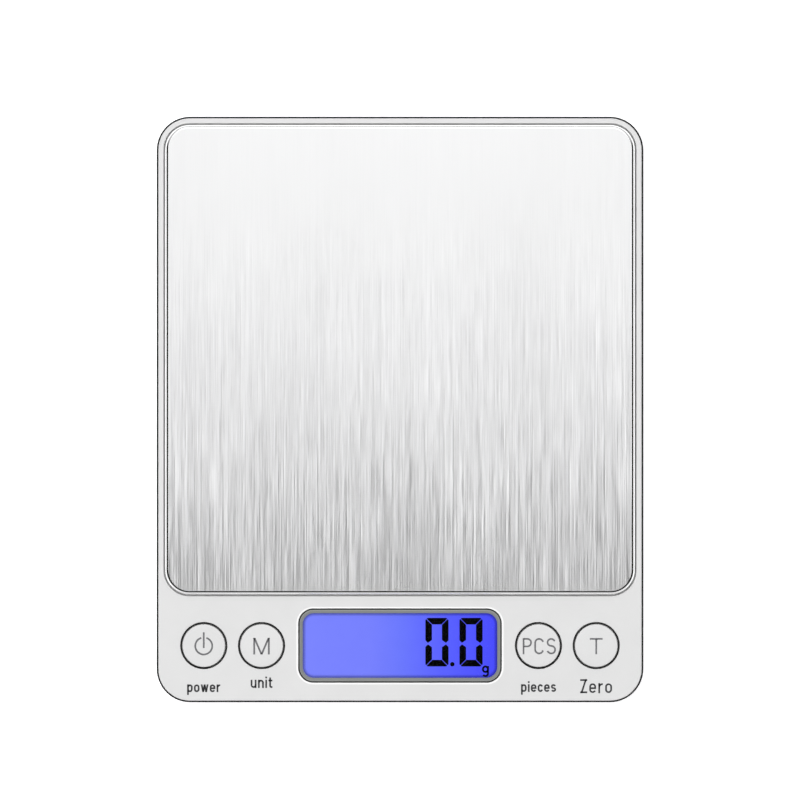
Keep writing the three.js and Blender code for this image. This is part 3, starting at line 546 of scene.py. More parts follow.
def cover():
    """The upper housing: panel, rim, well, display opening and button holes, hollow below."""
    shadow_line = 0.1  # the cover stands this much further in than its CAD solid, to show the base's dark edge
    edge, well_edge, hole_edge = 0.22, 0.12, 0.1  # radii
    skirt = SEAM_Z + SEAM_GAP
    thin_wall, thin_to = 0.8, skirt + 1.2  # beside the base's tongue
    panel_underside = 15.7
    play = 0.1
    width, length = COVER.size.x - 2 * shadow_line, COVER.size.y - 2 * shadow_line
    body = stacked("cover", width, length, COVER_CORNER, [(skirt, 0), *rounded_edge(edge, PANEL_Z - edge, 0)])
    hollow = stacked(
        "hollow", width, length, COVER_CORNER,
        [(0, thin_wall), (thin_to, thin_wall), (thin_to, WALL), (WELL_FLOOR[0], WALL)],
    )
    well_size = PLATE.size.x + 2 * WELL_GAP
    well = stacked(
        "well", well_size, well_size, PLATE_CORNER + WELL_GAP, [(WELL_FLOOR[1], 0), *flared(well_edge, PANEL_Z)],
        *PLATE.at,
    )
    front, rear = COVER.low.y + WALL, PLATE.low.y - WELL_GAP - WALL
    under_panel = stacked(
        "under panel", width - 2 * WALL, rear - front, 4.5, [(WELL_FLOOR[0] - 1, 0), (panel_underside, 0)],
        0, (front + rear) / 2,
    )
    frame_wall, frame_low, frame_top = 1.3, 14.6, panel_underside + 0.1
    lens_frame = at_controls(
        "lens frame", WINDOW.size.x + 2 * frame_wall, WINDOW.size.y + 2 * frame_wall, 3,
        [(frame_low, 0), (frame_top, 0)],
    )
    lens_pocket = at_controls(
        "lens pocket", WINDOW.size.x + 4 * play, WINDOW.size.y + 4 * play, 2, [(14, 0), (WINDOW.high.z + play, 0)],
    )
    opening = at_controls("opening", *DISPLAY_OPENING, [(14, 0), (18, 0)])
    bezel_seat = at_controls(
        "bezel seat", BEZEL.size.x + 2 * play, BEZEL.size.y + 2 * play, BEZEL_CORNER + play,
        [(BEZEL.low.z - play, 0), *flared(hole_edge, PANEL_Z)],
    )
    hole = [(HOLE_RADIUS - inset, z) for z, inset in [(15, 0), *flared(hole_edge, PANEL_Z)]]
    holes = [turned("hole", hole, BUTTON[name].centre.x, CONTROLS_Y) for name in BUTTONS]
    post_hole = [(4.5, WELL_FLOOR[0] - 1), (4.5, WELL_FLOOR[1] + 1)]
    posts = [turned("post hole", post_hole, x, PLATE.centre.y + y, 48) for x in (-19, 19) for y in (-12, 12)]
    cut(body, hollow, well, under_panel)
    join(body, lens_frame)
    cut(body, lens_pocket, opening, bezel_seat, *holes, *posts)
    dress(body, "silver_abs", "upper_housing")


def along_hinge(radius, half_length, segments=32):
    """A round bar on the door's axis."""
    bar = turned("hinge", [(radius, -half_length), (radius, half_length)], segments=segments)
    return lying(bar, 0, HINGE_Y, HINGE_Z)


def chamfered_bore(radius, bottom, top, x, y, chamfer=0.25):
    """A cutter for a bore with a chamfered mouth at its lower end."""
    profile = [(radius + chamfer + 1, bottom - 1), (radius, bottom + chamfer), (radius, top)]
    return turned("bore", profile, x, y, 48)


def base():
    """The lower housing: its shell and tongue, the battery bay, the recess of the door, and the screw bosses."""
    outline = (BASE.size.x, BASE.size.y, BASE_CORNER)
    bottom, floor = BASE.low.z, 3.2
    edge, taper, lip = 1.5, 1.2, 0.05  # the bottom edge's radius, the wall's lean and the flange's rounding
    wall = 2.1  # from the outline to the inner face
    tongue_out, tongue_low, tongue_top = 1.3, 8, 13.2
    above = 14  # cutters for the inside end here
    shell = stacked("base", *outline, [
        *rounded_edge(edge, bottom + edge, taper, upper=False, steps=8), (SEAM_Z - lip, 0.02), (SEAM_Z, lip),
    ])
    hollow = stacked("hollow", *outline, [(floor, taper + 1.8), (tongue_low, wall), (above, wall)])
    tongue = stacked("tongue", *outline, [
        (tongue_low, tongue_out), (tongue_top - 0.1, tongue_out), (tongue_top, tongue_out + 0.1),
    ])
    tongue_bore = stacked("tongue bore", *outline, [(tongue_low - 1, wall), (above, wall)])
    cut(shell, hollow)
    cut(tongue, tongue_bore)

    root = floor - 0.1  # what stands on the floor starts a little inside it
    bay_x, bay_front, bay_rear, bay_wall = BAY["half_length"], BAY["front"], BAY["rear"], BAY["wall"]
    bay_walls = block(
        "bay walls", (-bay_x - bay_wall, bay_front - bay_wall, root),
        (bay_x + bay_wall, bay_rear + bay_wall, BAY["top"]),
    )
    under_cell = [
        block(name, (left, PLATE.centre.y - half_width, root), (right, PLATE.centre.y + half_width, top))
        for name, left, right, half_width, top in (
            ("pad", -25, -11, 6, LOAD_CELL.low.z - 0.1),
            ("overload stop", 14, 24, 4, 3.95),
        )
    ]
    rib_half, rib_reach, rib_top = 0.6, 28, 5
    ribs = [block("rib", (x - rib_half, -rib_reach, root), (x + rib_half, rib_reach, rib_top)) for x in (-32, 32)]
    bosses = [turned("boss", [(3.7, root), (3.4, 8)], *place.at, 48) for place in HOUSING_SCREWS]
    join(shell, tongue, bay_walls, *under_cell, *ribs, *bosses)

    ceiling = DOOR.high.z + 0.1
    side = 0.15  # the room beside the door
    reach = DOOR_HALF + side + 1.4  # the far end of the pins' sockets
    scoop_radius, scoop_half, scoop_edge, scoop_depth = 8, 8, 0.6, 1.1
    scoop = turned("scoop", [
        (scoop_radius - scoop_edge, -scoop_half), (scoop_radius, scoop_edge - scoop_half),
        (scoop_radius, scoop_half - scoop_edge), (scoop_radius - scoop_edge, scoop_half),
    ], segments=128)
    cuts = [
        block("bay", (-bay_x, bay_front, 0), (bay_x, bay_rear, 20)),
        block("recess", (-DOOR_HALF - side, DOOR_FRONT - side, 0), (DOOR_HALF + side, HINGE_Y + 0.8, ceiling)),
        along_hinge(0.57, reach),
        block("entry", (-reach, HINGE_Y - 0.42, 0), (reach, HINGE_Y + 0.42, HINGE_Z)),
        lying(scoop, 0, 26.5, bottom + scoop_depth - scoop_radius),
        block("latch", (-6.3, 28.7, 0), (6.3, DOOR_FRONT, ceiling)),
        *(block("notch", (24, y - 1.6, 10.2), (30, y + 1.6, 20)) for y in CELL_ROWS),
    ]
    # For each kind of screw, the radius and top of its head's bore, and of the hole for its shank.
    for screws, head_radius, head_top, radius, top in (
        (HOUSING_SCREWS, 2.8, 5, 1.5, 9), (LOAD_CELL_SCREWS, 3.2, 3, 1.65, 6),
    ):
        for place in screws:
            cuts.append(chamfered_bore(head_radius, bottom, head_top, *place.at))
            cuts.append(turned("hole", [(radius, 0), (radius, top)], *place.at, 32))
    for place in FEET.values():
        radius, top = place.size.x / 2 + 0.15, place.high.z + 0.05
        cuts.append(chamfered_bore(radius, bottom, top, *place.at, 0.12))
    cut(shell, *cuts)
    dress(shell, "charcoal_abs", "lower_housing")


def door():
    """The battery door: a plate with softened edges, a barrel and two pins, a snap tab and finger grooves."""
    low, high = 1.4, DOOR.high.z
    edge, tab_edge = 0.22, 0.15
    panel = stacked(
        "door", 2 * DOOR_HALF, HINGE_Y - DOOR_FRONT, 0.7,
        [*rounded_edge(edge, low + edge, 0, upper=False, steps=4), (high, 0)],
        0, (DOOR_FRONT + HINGE_Y) / 2, steps=6,
    )
    barrel, pins = along_hinge(0.6, DOOR_HALF - 0.001), along_hinge(0.5, DOOR_HALF + PIN_LENGTH)
    rear = block("rear", (-DOOR_HALF, HINGE_Y - 2, low + 0.1), (DOOR_HALF, HINGE_Y, high))
    tab = stacked(
        "tab", 12, 3, 0.6, [*rounded_edge(tab_edge, low + tab_edge, 0, upper=False, steps=3), (low + 0.8, 0)],
        0, DOOR_FRONT, steps=6,
    )
    join(panel, rear, barrel, pins, tab)
    first_groove, groove_pitch = 33.35, 1.6
    groove = [(0, -0.1), (low, -0.06), (low + 0.1, 0), (low + 0.3, 0.12)]
    cut(panel, *(
        stacked("groove", 14, 0.7, 0.34, groove, 0, first_groove + groove_pitch * i, steps=5) for i in range(4)
    ))
    dress(panel, "charcoal_abs", "battery_door", body="door")


def foot(corner):
    """A rubber foot with a dished middle and a groove round its edge."""
    extent = FEET[corner]
    radius, top = extent.size.x / 2, extent.high.z
    profile = [
        (1.2, 0.3), (1.7, 0.06), (1.9, 0), (3.1, 0), (3.2, 0.1), (3.35, 0.1), (3.45, 0), (radius - 0.5, 0),
        (radius - 0.15, 0.15), (radius, 0.5), (radius, top - 0.1), (radius - 0.1, top),
    ]
    made = turned(f"foot_{corner}", profile, *extent.at)
    dress(made, "foot_rubber", f"rubber_foot_{corner}", angle=40)


def screw(node, head_radius, head_height, shank_radius, above=False, body="body"):
    """A pan-head screw with a cross recess, its head at the lower end, or at the upper one."""
    extent = Extent(node)
    head, tip = (extent.high.z, extent.low.z) if above else (extent.low.z, extent.high.z)
    up = -1 if above else 1
    x, y = extent.at
    under = head + up * head_height
    profile = [
        (head_radius * 0.55, head), (head_radius * 0.8, head + up * 0.12), (head_radius * 0.95, head + up * 0.35),
        (head_radius, head + up * 0.6), (head_radius, under - up * 0.1), (head_radius - 0.1, under),
        (shank_radius, under), (shank_radius, tip - up * shank_radius), (shank_radius * 0.3, tip),
    ]
    made = turned(node + "_turned", profile if up > 0 else profile[::-1], x, y, 48)
    arm, slot, depth = head_radius * 0.58, head_radius * 0.17, head_height * 0.6
    low, high = sorted((head - up * 1, head + up * depth))
    cross = [block("arm", (x - a, y - b, low), (x + a, y + b, high)) for a, b in ((arm, slot), (slot, arm))]
    cut(made, *cross)
    dress(made, "zinc_steel", node, body=body)


# ---- platform


def plate():
    """The pressed steel pan, open below, with a map that runs along its brushing."""
    low, bend = PLATE.low.z, PLATE.high.z - BEND_RADIUS
    outline = (PLATE.size.x, PLATE.size.x, PLATE_CORNER)
    rim_edge = 0.06
    pan = stacked(
        "weighing_plate", *outline,
        [(low, rim_edge), (low + rim_edge, 0), *rounded_edge(BEND_RADIUS, bend, 0, steps=10)], *PLATE.at, steps=20,
    )
    inner_bend = rounded_edge(BEND_RADIUS - SHEET_THICKNESS, bend, SHEET_THICKNESS, steps=4)
    cut(pan, stacked("inside", *outline, [(low - 1, SHEET_THICKNESS), *inner_bend], *PLATE.at, steps=20))
    brushing = pan.data.uv_layers.new(name="brushing")
    for loop in pan.data.loops:
        x, y, z = pan.data.vertices[loop.vertex_index].co
        brushing.data[loop.index].uv = (x, y - z)
    dress(pan, "brushed_steel", "platform_plate", body="platform")


# ---- printed strokes


def arc(x, y, radius_x, radius_y, start, end, steps=10):
    """Points on an ellipse, from one angle in degrees to another."""
    angles = [math.radians(start + (end - start) * i / steps) for i in range(steps + 1)]
    return [(x + radius_x * math.cos(a), y + radius_y * math.sin(a)) for a in angles]


def bowl(x, y, radius_x, radius_y, length, start, end):
    """An upright oval's outline: a half circle over another, length apart, from one angle to another."""
    turns = [a for a in (start, *range(-360, 721, 180), end) if min(start, end) <= a <= max(start, end)]
    turns = sorted(set(turns), reverse=start > end)
    points = []
    for first, second in zip(turns, turns[1:]):
        above = math.sin(math.radians((first + second) / 2)) > 0
        points += arc(x, y + (length / 2 if above else -length / 2), radius_x, radius_y, first, second)
    return points


# Each letter is a width and a list of strokes, in a box where capitals are one unit high.
LETTERS = {
    "C": (0.59, [bowl(0.295, 0.5, 0.25, 0.255, 0.4, 15, 345)]),
    "M": (0.98, [[(0.05, 0), (0.05, 1)], [(0.06, 1), (0.49, 0)], [(0.49, 0), (0.92, 1)], [(0.93, 1), (0.93, 0)]]),
    "P": (0.56, [[(0.045, 0), (0.045, 1)],
                 [(0.045, 0.955), *arc(0.28, 0.72, 0.235, 0.235, 90, -90), (0.045, 0.485)]]),
    "S": (0.59, [arc(0.295, 0.735, 0.23, 0.22, 20, 270) + arc(0.295, 0.28, 0.25, 0.235, 90, -160)]),
    "T": (0.8, [[(0, 0.955), (0.8, 0.955)], [(0.4, 0.95), (0.4, 0)]]),
    "Z": (0.5, [[(0, 0.93), (0.5, 0.93)], [(0.41, 1), (0.09, 0)], [(0, 0.07), (0.5, 0.07)]]),
    "c": (0.48, [bowl(0.25, 0.36, 0.17, 0.18, 0.2, 15, 345)]),
    "e": (0.52, [[(0.09, 0.36), (0.44, 0.36), *bowl(0.26, 0.36, 0.18, 0.18, 0.2, 0, 335)]]),
    "g": (0.56, [arc(0.28, 0.3, 0.24, 0.26, 0, 360, 20), [(0.52, 0.6), *arc(0.28, -0.12, 0.24, 0.22, 0, -150)]]),
    "i": (0.16, [[(0.08, 0), (0.08, 0.72)], [(0.08, 0.84), (0.08, 1)]]),
    "n": (0.52, [[(0.08, 0), (0.08, 0.72)], [*arc(0.26, 0.46, 0.18, 0.18, 170, 0), (0.44, 0)]]),
    "o": (0.52, [[*bowl(0.26, 0.36, 0.18, 0.18, 0.2, 0, 360), (0.44, 0.46)]]),
    "p": (0.52, [[(0.08, -0.26), (0.08, 0.72)], bowl(0.26, 0.36, 0.18, 0.18, 0.2, 170, -170)]),
    "r": (0.36, [[(0.08, 0), (0.08, 0.72)], arc(0.3, 0.42, 0.22, 0.22, 170, 80)]),
    "s": (0.46, [arc(0.24, 0.5, 0.16, 0.14, 20, 270) + arc(0.24, 0.22, 0.16, 0.14, 90, -160)]),
    "t": (0.35, [[(0.14, 0.92), (0.14, 0.2), *arc(0.26, 0.2, 0.12, 0.12, 180, 270), (0.35, 0.08)],
                 [(0, 0.65), (0.34, 0.65)]]),
    "u": (0.52, [[(0.08, 0.72), *arc(0.26, 0.26, 0.18, 0.18, 180, 350)], [(0.44, 0), (0.44, 0.72)]]),
    "w": (0.72, [[(0.08, 0.72), (0.22, 0)], [(0.22, 0), (0.36, 0.72)], [(0.36, 0.72), (0.5, 0)],
                 [(0.5, 0), (0.64, 0.72)]]),
}


def ribbon(points, width):
    """The two edges of a stroke of a width along a line, mitred at its bends."""
    left, right = [], []
    points = [p for i, p in enumerate(points) if not i or math.dist(p, points[i - 1]) > 0.001]
    if len(points) == 2 and points[0][0] != points[1][0] and points[0][1] != points[1][1]:
        # A single slanted stroke is cut level at its ends.
        along = (Vector(points[1]) - Vector(points[0])).normalized()
        across = Vector((-width / 2 / along.y, 0))
        return [Vector(p) + across for p in points], [Vector(p) - across for p in points]
    sharpest = 0.35  # keeps a sharp bend's mitre short
    for i, point in enumerate(points):
        here = Vector(point)
        before = (here - Vector(points[i - 1])).normalized() if i else None
        after = (Vector(points[i + 1]) - here).normalized() if i < len(points) - 1 else None
        heading = ((before or after) + (after or before)).normalized()
        normal = Vector((-heading.y, heading.x))
        stretch = 1 / max(sharpest, abs(heading.dot(before or after)))
        left.append(here + normal * width / 2 * stretch)
        right.append(here - normal * width / 2 * stretch)
    return left, right


def stroke_mesh(name, strokes, width, bottom, top):
    """Strokes as thin solid bars between two heights, all in one mesh."""
    vertices, faces = [], []
    for points in strokes:
        left, right = ribbon(points, width)
        start = len(vertices)
        for a, b in zip(left, right):
            vertices += [(a.x, a.y, bottom), (b.x, b.y, bottom), (b.x, b.y, top), (a.x, a.y, top)]
        for i in range(len(left) - 1):
            p = start + 4 * i
            q = p + 4
            faces += [(p + k, p + (k + 1) % 4, q + (k + 1) % 4, q + k) for k in range(4)]
        last = start + 4 * (len(left) - 1)
        faces += [tuple(start + k for k in (3, 2, 1, 0)), tuple(last + k for k in range(4))]
    return make_object(name, vertices, faces)


def word_strokes(word, x, y, height, spacing=0.24):
    """A word's strokes, with its capitals' middle on a point."""
    at = -(sum(LETTERS[letter][0] for letter in word) + spacing * (len(word) - 1)) / 2
    strokes = []
    for letter in word:
        width, paths = LETTERS[letter]
        strokes += [[(x + (at + px) * height, y + (py - 0.5) * height) for px, py in path] for path in paths]
        at += width + spacing
    return strokes


def power_symbol(x, y, radius):
    """A ring open at the top, and a bar through the opening."""
    gap, bar = 17, (-0.45, 3.0)  # half the opening in degrees, and the bar's ends above the middle
    ring = arc(x, y, radius, radius, 90 + gap, 450 - gap, 40)
    return [ring, [(x, y + end) for end in bar]]


# ---- controls


# Each caption is a word, the height of its capitals, and the Y of its foot.
CAPTIONS = {
    "power": ("power", 2.33, -61.65),
    "mode": ("unit", 2.5, -60.75),
    "count": ("pieces", 2.33, -61.6),
    "tare": ("Zero", 3.1, -61.9),
}
# Each legend is a word, the height of its capitals, the width of its strokes and how far right of the middle it is.
LEGENDS = {"mode": ("M", 3.62, 0.4, 0), "count": ("PCS", 3.5, 0.37, 0.2), "tare": ("T", 3.5, 0.37, 0)}


def button(name):
    """A cap with a faint crown and a rounded rim, its flange below the panel, and its legend."""
    extent = BUTTON[name]
    x, low, top = extent.centre.x, extent.low.z, extent.high.z
    flange, flange_top = extent.size.x / 2, low + 0.7
    rim, crown_height = 0.16, 0.06
    upright = top - crown_height - rim
    profile = [(2, low), (2, low + 0.1), (flange, low + 0.1), (flange, flange_top), (CAP_RADIUS, flange_top)]
    profile += [(CAP_RADIUS - inset, z) for z, inset in rounded_edge(rim, upright, 0)]
    crown = [(share * (CAP_RADIUS - rim), top - crown_height * share**2) for share in (0.8, 0.6, 0.4, 0.2, 0.02)]
    cap = turned(f"cap_{name}", profile + crown, x, CONTROLS_Y)
    dress(cap, "silver_abs", f"button_{name}", body=f"{name}_key")
    if name == "power":
        width = 0.38
        strokes = power_symbol(x, CONTROLS_Y - 0.08, 1.85)
    else:
        word, height, width, shift = LEGENDS[name]
        strokes = word_strokes(word, x + shift, CONTROLS_Y - 0.12, height, spacing=0.16)
    legend = stroke_mesh(f"legend_{name}", strokes, width, top - 0.08, top + 0.006)
    dress(legend, "black_silicone", body=f"{name}_key", material=LEGEND_GREY)


def caption(name):
    """The word printed under a button."""
    word, height, word_foot = CAPTIONS[name]
    strokes = word_strokes(word, BUTTON[name].centre.x, word_foot + height / 2, height, spacing=0.12)
    made = stroke_mesh(f"caption_{name}", strokes, 0.38, PANEL_Z - 0.02, PANEL_Z + 0.008)
    dress(made, "black_silicone", material=CAPTION_BLACK)


def seal(side):
    """The silicone sheet behind a pair of buttons, with the collars that show as dark rings."""
    extent = SEALS[side]
    low, sheet = extent.low.z, 0.6
    made = stacked(f"seal_{side}", extent.size.x, extent.size.y, 3, [(low, 0), (low + sheet, 0)], *extent.at)
    centres = [BUTTON[name].centre.x for name in BUTTONS if (BUTTON[name].centre.x > 0) == (side == "right")]
    outer, inner, edge = HOLE_RADIUS - 0.075, CAP_RADIUS + 0.15, 0.1
    collar = [
        (outer, low + sheet / 2), *((outer - inset, z) for z, inset in rounded_edge(edge, extent.high.z - edge, 0)),
    ]
    join(made, *(turned("collar", collar, x, CONTROLS_Y) for x in centres))
    cut(made, *(turned("bore", [(inner, low - 1), (inner, PANEL_Z)], x, CONTROLS_Y) for x in centres))
    dress(made, "black_silicone", f"keypad_seal_{side}")


# ---- display


def bezel():
    """The grey ring round the display, sloping down to the window, in a thin dark gasket."""
    low, high = BEZEL.low.z, BEZEL.high.z
    gasket_width, gasket_top = 0.24, PANEL_Z - 0.12
    edge, gasket_edge, slope = 0.12, 0.05, 0.6
    outer = (BEZEL.size.x + 0.1, BEZEL.size.y + 0.1, BEZEL_CORNER + 0.05)
    inner = (outer[0] - 2 * gasket_width, outer[1] - 2 * gasket_width, outer[2] - gasket_width)
    ring = at_controls("bezel", *inner, [(low, 0), *rounded_edge(edge, high - edge, 0, steps=3)])
    cut(ring, at_controls(
        "inside", *DISPLAY_OPENING, [(low - 1, 0), (low + 0.3, 0), (low + 0.42, -0.06), (high + 0.02, -slope)],
    ))
    dress(ring, "bezel_grey", "display_bezel", angle=20)
    gasket = at_controls(
        "bezel_gasket", *outer, [(low, 0), *rounded_edge(gasket_edge, gasket_top - gasket_edge, 0, steps=2)],
    )
    cut(gasket, at_controls("inside", *inner, [(low - 1, 0), (PANEL_Z + 1, 0)]))
    dress(gasket, "black_silicone")


def window():
    """The clear pane under the display opening."""
    pane = at_controls("window", WINDOW.size.x, WINDOW.size.y, 1.8, [(WINDOW.low.z, 0), (WINDOW.high.z, 0)])
    dress(pane, "clear_acrylic", "display_window")


DIGIT = {
    "lefts": (5.54, 12.98), "top": CONTROLS_Y + 6.0, "width": 5.05, "height": 10.6,
    "stroke": 1.43, "gap": 0.09, "chamfer": 0.48, "tip": 0.55,
}


def digit_zero(left):
    """The outlines of a zero's six bars, with chamfered corners and pointed middles."""
    width, height, stroke = DIGIT["width"], DIGIT["height"], DIGIT["stroke"]
    gap, chamfer, tip = DIGIT["gap"], DIGIT["chamfer"], DIGIT["tip"]
    middle = DIGIT["top"] - height * 0.53
    sides, ends = ((left, 1), (left + width, -1)), ((DIGIT["top"], 1), (DIGIT["top"] - height, -1))
    bars = []
    for outer, sign in sides:
        for end, up in ends:
            inner = outer + sign * stroke
            point = middle + up * 0.17
            bars.append([
                (outer, end - up * chamfer),
                (outer + sign * (chamfer / 2 - gap / 2), end - up * (chamfer / 2 + gap / 2)),
                (inner, end - up * (stroke + gap)),
                (inner, point + up * tip * 1.1),
                (outer + sign * tip, point),
                (outer, point + up * tip),
            ])
    for end, up in ends:
        bar = []
        for outer, sign in sides:
            half = [
                (outer + sign * chamfer, end),
                (outer + sign * (chamfer / 2 + gap / 2), end - up * (chamfer / 2 - gap / 2)),
                (outer + sign * (stroke + gap), end - up * stroke),
            ]
            bar += half if sign > 0 else half[::-1]
        bars.append(bar)
    return bars


def prism(name, outlines, bottom, top):
    """Flat outlines as thin solids in one mesh."""
    vertices, faces = [], []
    for points in outlines:
        area = sum(a[0] * b[1] - b[0] * a[1] for a, b in zip(points, points[1:] + points[:1]))
        ordered = points if area > 0 else list(reversed(points))
        count, start = len(ordered), len(vertices)
        vertices += [(x, y, bottom) for x, y in ordered] + [(x, y, top) for x, y in ordered]
        faces.append(tuple(start + i for i in reversed(range(count))))
        faces.append(tuple(start + count + i for i in range(count)))
        for i in range(count):
            j = (i + 1) % count
            faces.append((start + i, start + j, start + count + j, start + count + i))
    return make_object(name, vertices, faces)


def reading():
    """The digits, the point and the unit mark, just over the film."""
    bottom = LCD_FILM.high.z + 0.02
    top = bottom + 0.04
    point_x, point_radius = 11.42, 0.48
    outlines = [bar for left in DIGIT["lefts"] for bar in digit_zero(left)]
    outlines.append(arc(
        point_x, DIGIT["top"] - DIGIT["height"] + point_radius, point_radius, point_radius, 0, 345, 23,
    ))
    dress(prism("digits", outlines, bottom, top), "black_silicone", material=SEGMENT_BLACK)
    unit = stroke_mesh("unit_mark", word_strokes("g", 18.65, CONTROLS_Y - 4.75, 2.3), 0.42, bottom, top)
    dress(unit, "black_silicone", material=SEGMENT_BLACK)


# ---- inside


def load_cell():
    """The bar with two joined cross-bores."""
    low, high, centre = LOAD_CELL.low, LOAD_CELL.high, LOAD_CELL.centre
    half_length, half_width = LOAD_CELL.size.x / 2, LOAD_CELL.size.y / 2
    chamfer = 0.3
    steps = 60  # lengthwise
    rings = []
    for i in range(steps + 1):
        x = centre.x - half_length + 2 * half_length * i / steps
        inset = chamfer if i in (0, steps) else 0
        y0, y1, z0, z1 = low.y + inset, high.y - inset, low.z + inset, high.z - inset
        rings.append([
            (x, y0 + chamfer, z0), (x, y1 - chamfer, z0), (x, y1, z0 + chamfer), (x, y1, z1 - chamfer),
            (x, y1 - chamfer, z1), (x, y0 + chamfer, z1), (x, y0, z1 - chamfer), (x, y0, z0 + chamfer),
        ])
    bar = closed_through("load_cell_bar", rings)
    bore_x, bore_radius, slot_half = 5.2, 2.2, 1
    cross_bores = []
    for x in (-bore_x, bore_x):
        bore = turned("cross bore", [(bore_radius, -half_width - 1), (bore_radius, half_width + 1)], segments=48)
        for vertex in bore.data.vertices:
            px, py, pz = vertex.co
            vertex.co = Vector((px, -pz, py)) + Vector((x, centre.y, centre.z)) * MM
        cross_bores.append(bore)
    slot = block("slot", (-bore_x, low.y - 1, centre.z - slot_half), (bore_x, high.y + 1, centre.z + slot_half))
    screw_holes = [turned("hole", [(1.65, 0), (1.65, 20)], x, centre.y, 32) for x in (-20.5, -14.5, 14.5, 20.5)]
    cut(bar, *cross_bores, slot, *screw_holes)
    surface(bar, "aluminium")
    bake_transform(bar)
    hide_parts("load_cell")


def cell(number, turn):
    """A battery: its jacket, and its nickel ends. turn says which way along X it points."""
    extent = Extent(f"battery_{number}")
    radius, length = extent.size.y / 2, extent.size.x
    start = (extent.low.x if turn > 0 else extent.high.x, extent.centre.y, extent.centre.z)
    jacket = turned(f"cell_{number}_jacket", [
        (radius - 0.9, 0.12), (radius - 0.35, 0.12), (radius - 0.08, 0.3), (radius, 0.6), (radius, length - 1.9),
        (radius - 0.1, length - 1.55), (radius - 0.5, length - 1.3), (radius - 1.2, length - 1.3),
    ])
    dress(lying(jacket, *start, turn), "cell_jacket", f"battery_{number}")
    negative = turned(f"cell_{number}_negative", [(3.4, 0), (3.7, 0.04), (4.1, 0.1), (4.1, 0.3)])
    positive = turned(f"cell_{number}_positive", [
        (4.0, length - 1.4), (4.0, length - 1.1), (3.4, length - 0.95), (1.95, length - 0.9), (1.9, length - 0.25),
        (1.7, length - 0.04), (1.2, length),
    ])
    for end in (negative, positive):
        dress(lying(end, *start, turn), "nickel")


# ---- everything


cover()
base()
door()
for place in CORNERS:
    foot(place)
for place in CORNERS:
    screw(f"housing_screw_{place}", 2.5, 1.4, 1.25)
for pair in (1, 2):
    screw(f"load_cell_screw_{pair}", 2.8, 1.25, 1.4)
    screw(f"board_screw_{pair}", 1.9, 1.3, 0.85)
    screw(f"tray_screw_{pair}", 2.3, 1.1, 1.0, above=True, body="platform")
load_cell()
cell(1, 1)
cell(2, -1)
plate()
for key in BUTTONS:
    button(key)
    caption(key)
for seal_side in SEALS:
    seal(seal_side)
bezel()
window()
reading()

slots = {entry["node"]: entry["material_slot"] for entry in frame["record"]["subparts"]}
for node, cad_object in frame["nodes"].items():
    cad_object.data.materials.clear()
    cad_object.data.materials.append(MATERIALS[slots[node]])


# ---- stage, light and camera


def stage_floor():
    """A pale floor that gives back a little light of its own, and can't be seen from below."""
    graph = Graph("floor")
    tone = graph.spread(graph.noise(60, detail=2), 0.99, 1.0)
    material = graph.set(
        Base_Color=graph.shade((0.9, 0.9, 0.9), tone),
        Roughness=1.0,
        Specular_IOR_Level=0.0,
        Emission_Color=(1, 1, 1, 1),
        Emission_Strength=0.6,
    )
    clear = graph.add("BsdfTransparent").outputs["BSDF"]
    from_below = graph.add("NewGeometry").outputs["Backfacing"]
    one_sided = graph.add("MixShader", {0: from_below, 1: graph.shader.outputs["BSDF"], 2: clear})
    graph.links.new(one_sided.outputs["Shader"], graph.nodes["Material Output"].inputs["Surface"])
    reach = 3000
    corners = [(-reach, -reach, 0), (reach, -reach, 0), (reach, reach, 0), (-reach, reach, 0)]
    floor = make_object("floor", corners, [(0, 1, 2, 3)])
    floor.data.materials.append(material)


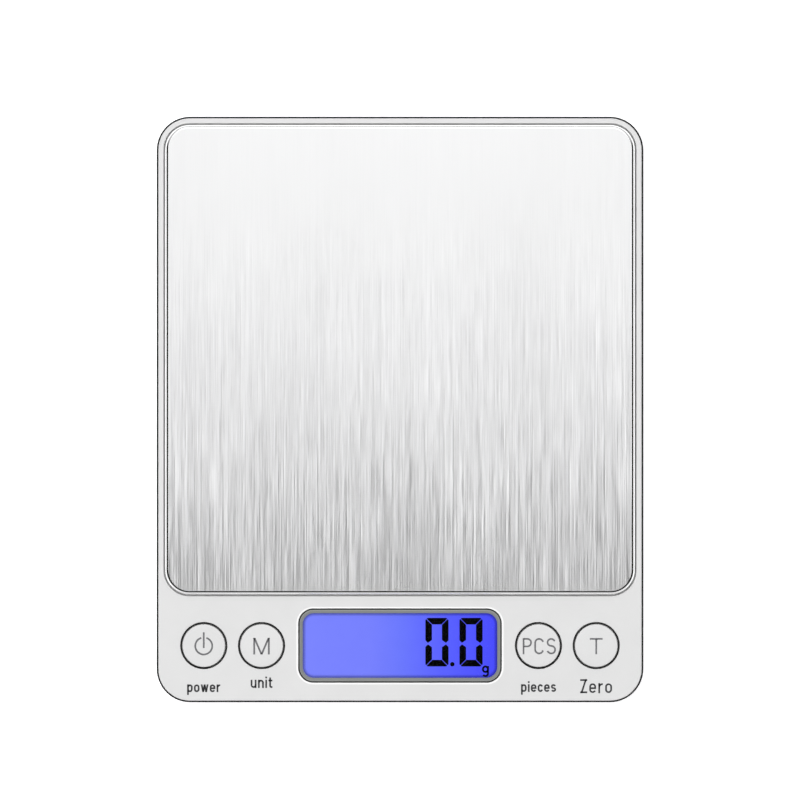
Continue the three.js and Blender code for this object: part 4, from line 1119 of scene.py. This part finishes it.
def area_light(name, width, length, position, target, radiance, glossy=True, diffuse=True):
    """A soft panel at a place, facing a point, that the camera doesn't see. radiance is how bright its face is."""
    data = bpy.data.lights.new(name, "AREA")
    data.shape = "RECTANGLE"
    data.size = width * MM
    data.size_y = length * MM
    data.energy = radiance * math.pi * width * length * MM * MM
    lamp = bpy.data.objects.new(name, data)
    lamp.location = Vector(position) * MM
    lamp.rotation_euler = (Vector(target) - Vector(position)).to_track_quat("-Z", "Y").to_euler()
    lamp.visible_camera = False
    lamp.visible_glossy = glossy
    lamp.visible_diffuse = diffuse
    lamp.visible_transmission = False
    bpy.context.scene.collection.objects.link(lamp)


def surroundings():
    """A studio that is bright behind the scale and low down, and dark high up at its sides and front."""
    graph = Graph("studio", bpy.data.worlds, "Background")
    direction = graph.add("TexCoord").outputs["Generated"]
    position = graph.add("SeparateXYZ", {"Vector": direction}).outputs
    height = graph.math("ADD", position["Z"], graph.math("MULTIPLY", position["Y"], 0.5))
    soft = {"interpolation_type": "SMOOTHSTEP"}
    low_down = graph.spread(height, 0.9, 0.01, start=0.18, end=0.3, **soft)
    behind = graph.spread(position["Y"], 0.0, 0.66, start=0.05, end=0.45, **soft)
    bpy.context.scene.world = graph.set(Color=graph.math("MAXIMUM", low_down, behind), Strength=1.0)


def camera():
    """Straight down, through a long lens, so that the panel's plane shows 174.5 mm across the picture."""
    lens, sensor, shown, aim_y = 600, 36, 174.5, 2.07
    data = bpy.data.cameras.new("camera")
    data.lens = lens
    data.sensor_width = sensor
    data.clip_end = 100
    view = bpy.data.objects.new("camera", data)
    view.location = Vector((0, aim_y, PANEL_Z + shown * lens / sensor)) * MM
    bpy.context.scene.collection.objects.link(view)
    bpy.context.scene.camera = view


stage_floor()
surroundings()
camera()
area_light("key", 500, 500, position=(-110, 60, 1400), target=(0, 0, 0), radiance=28.2, glossy=False)
# The plate reflects two panels over it. Each is a name, where its front edge is, and its radiance.
SOFTBOX_WIDTH, SOFTBOX_REAR, SOFTBOX_HEIGHT = 430, 520, 420
for name, front, radiance in (("softbox", -43, 1.165), ("softbox_rear", 70, 0.06)):
    middle = (front + SOFTBOX_REAR) / 2
    area_light(
        name, SOFTBOX_WIDTH, SOFTBOX_REAR - front, (0, middle, SOFTBOX_HEIGHT), (0, middle, 0), radiance,
        diffuse=False,
    )

bpy.context.scene.view_settings.view_transform = "Standard"
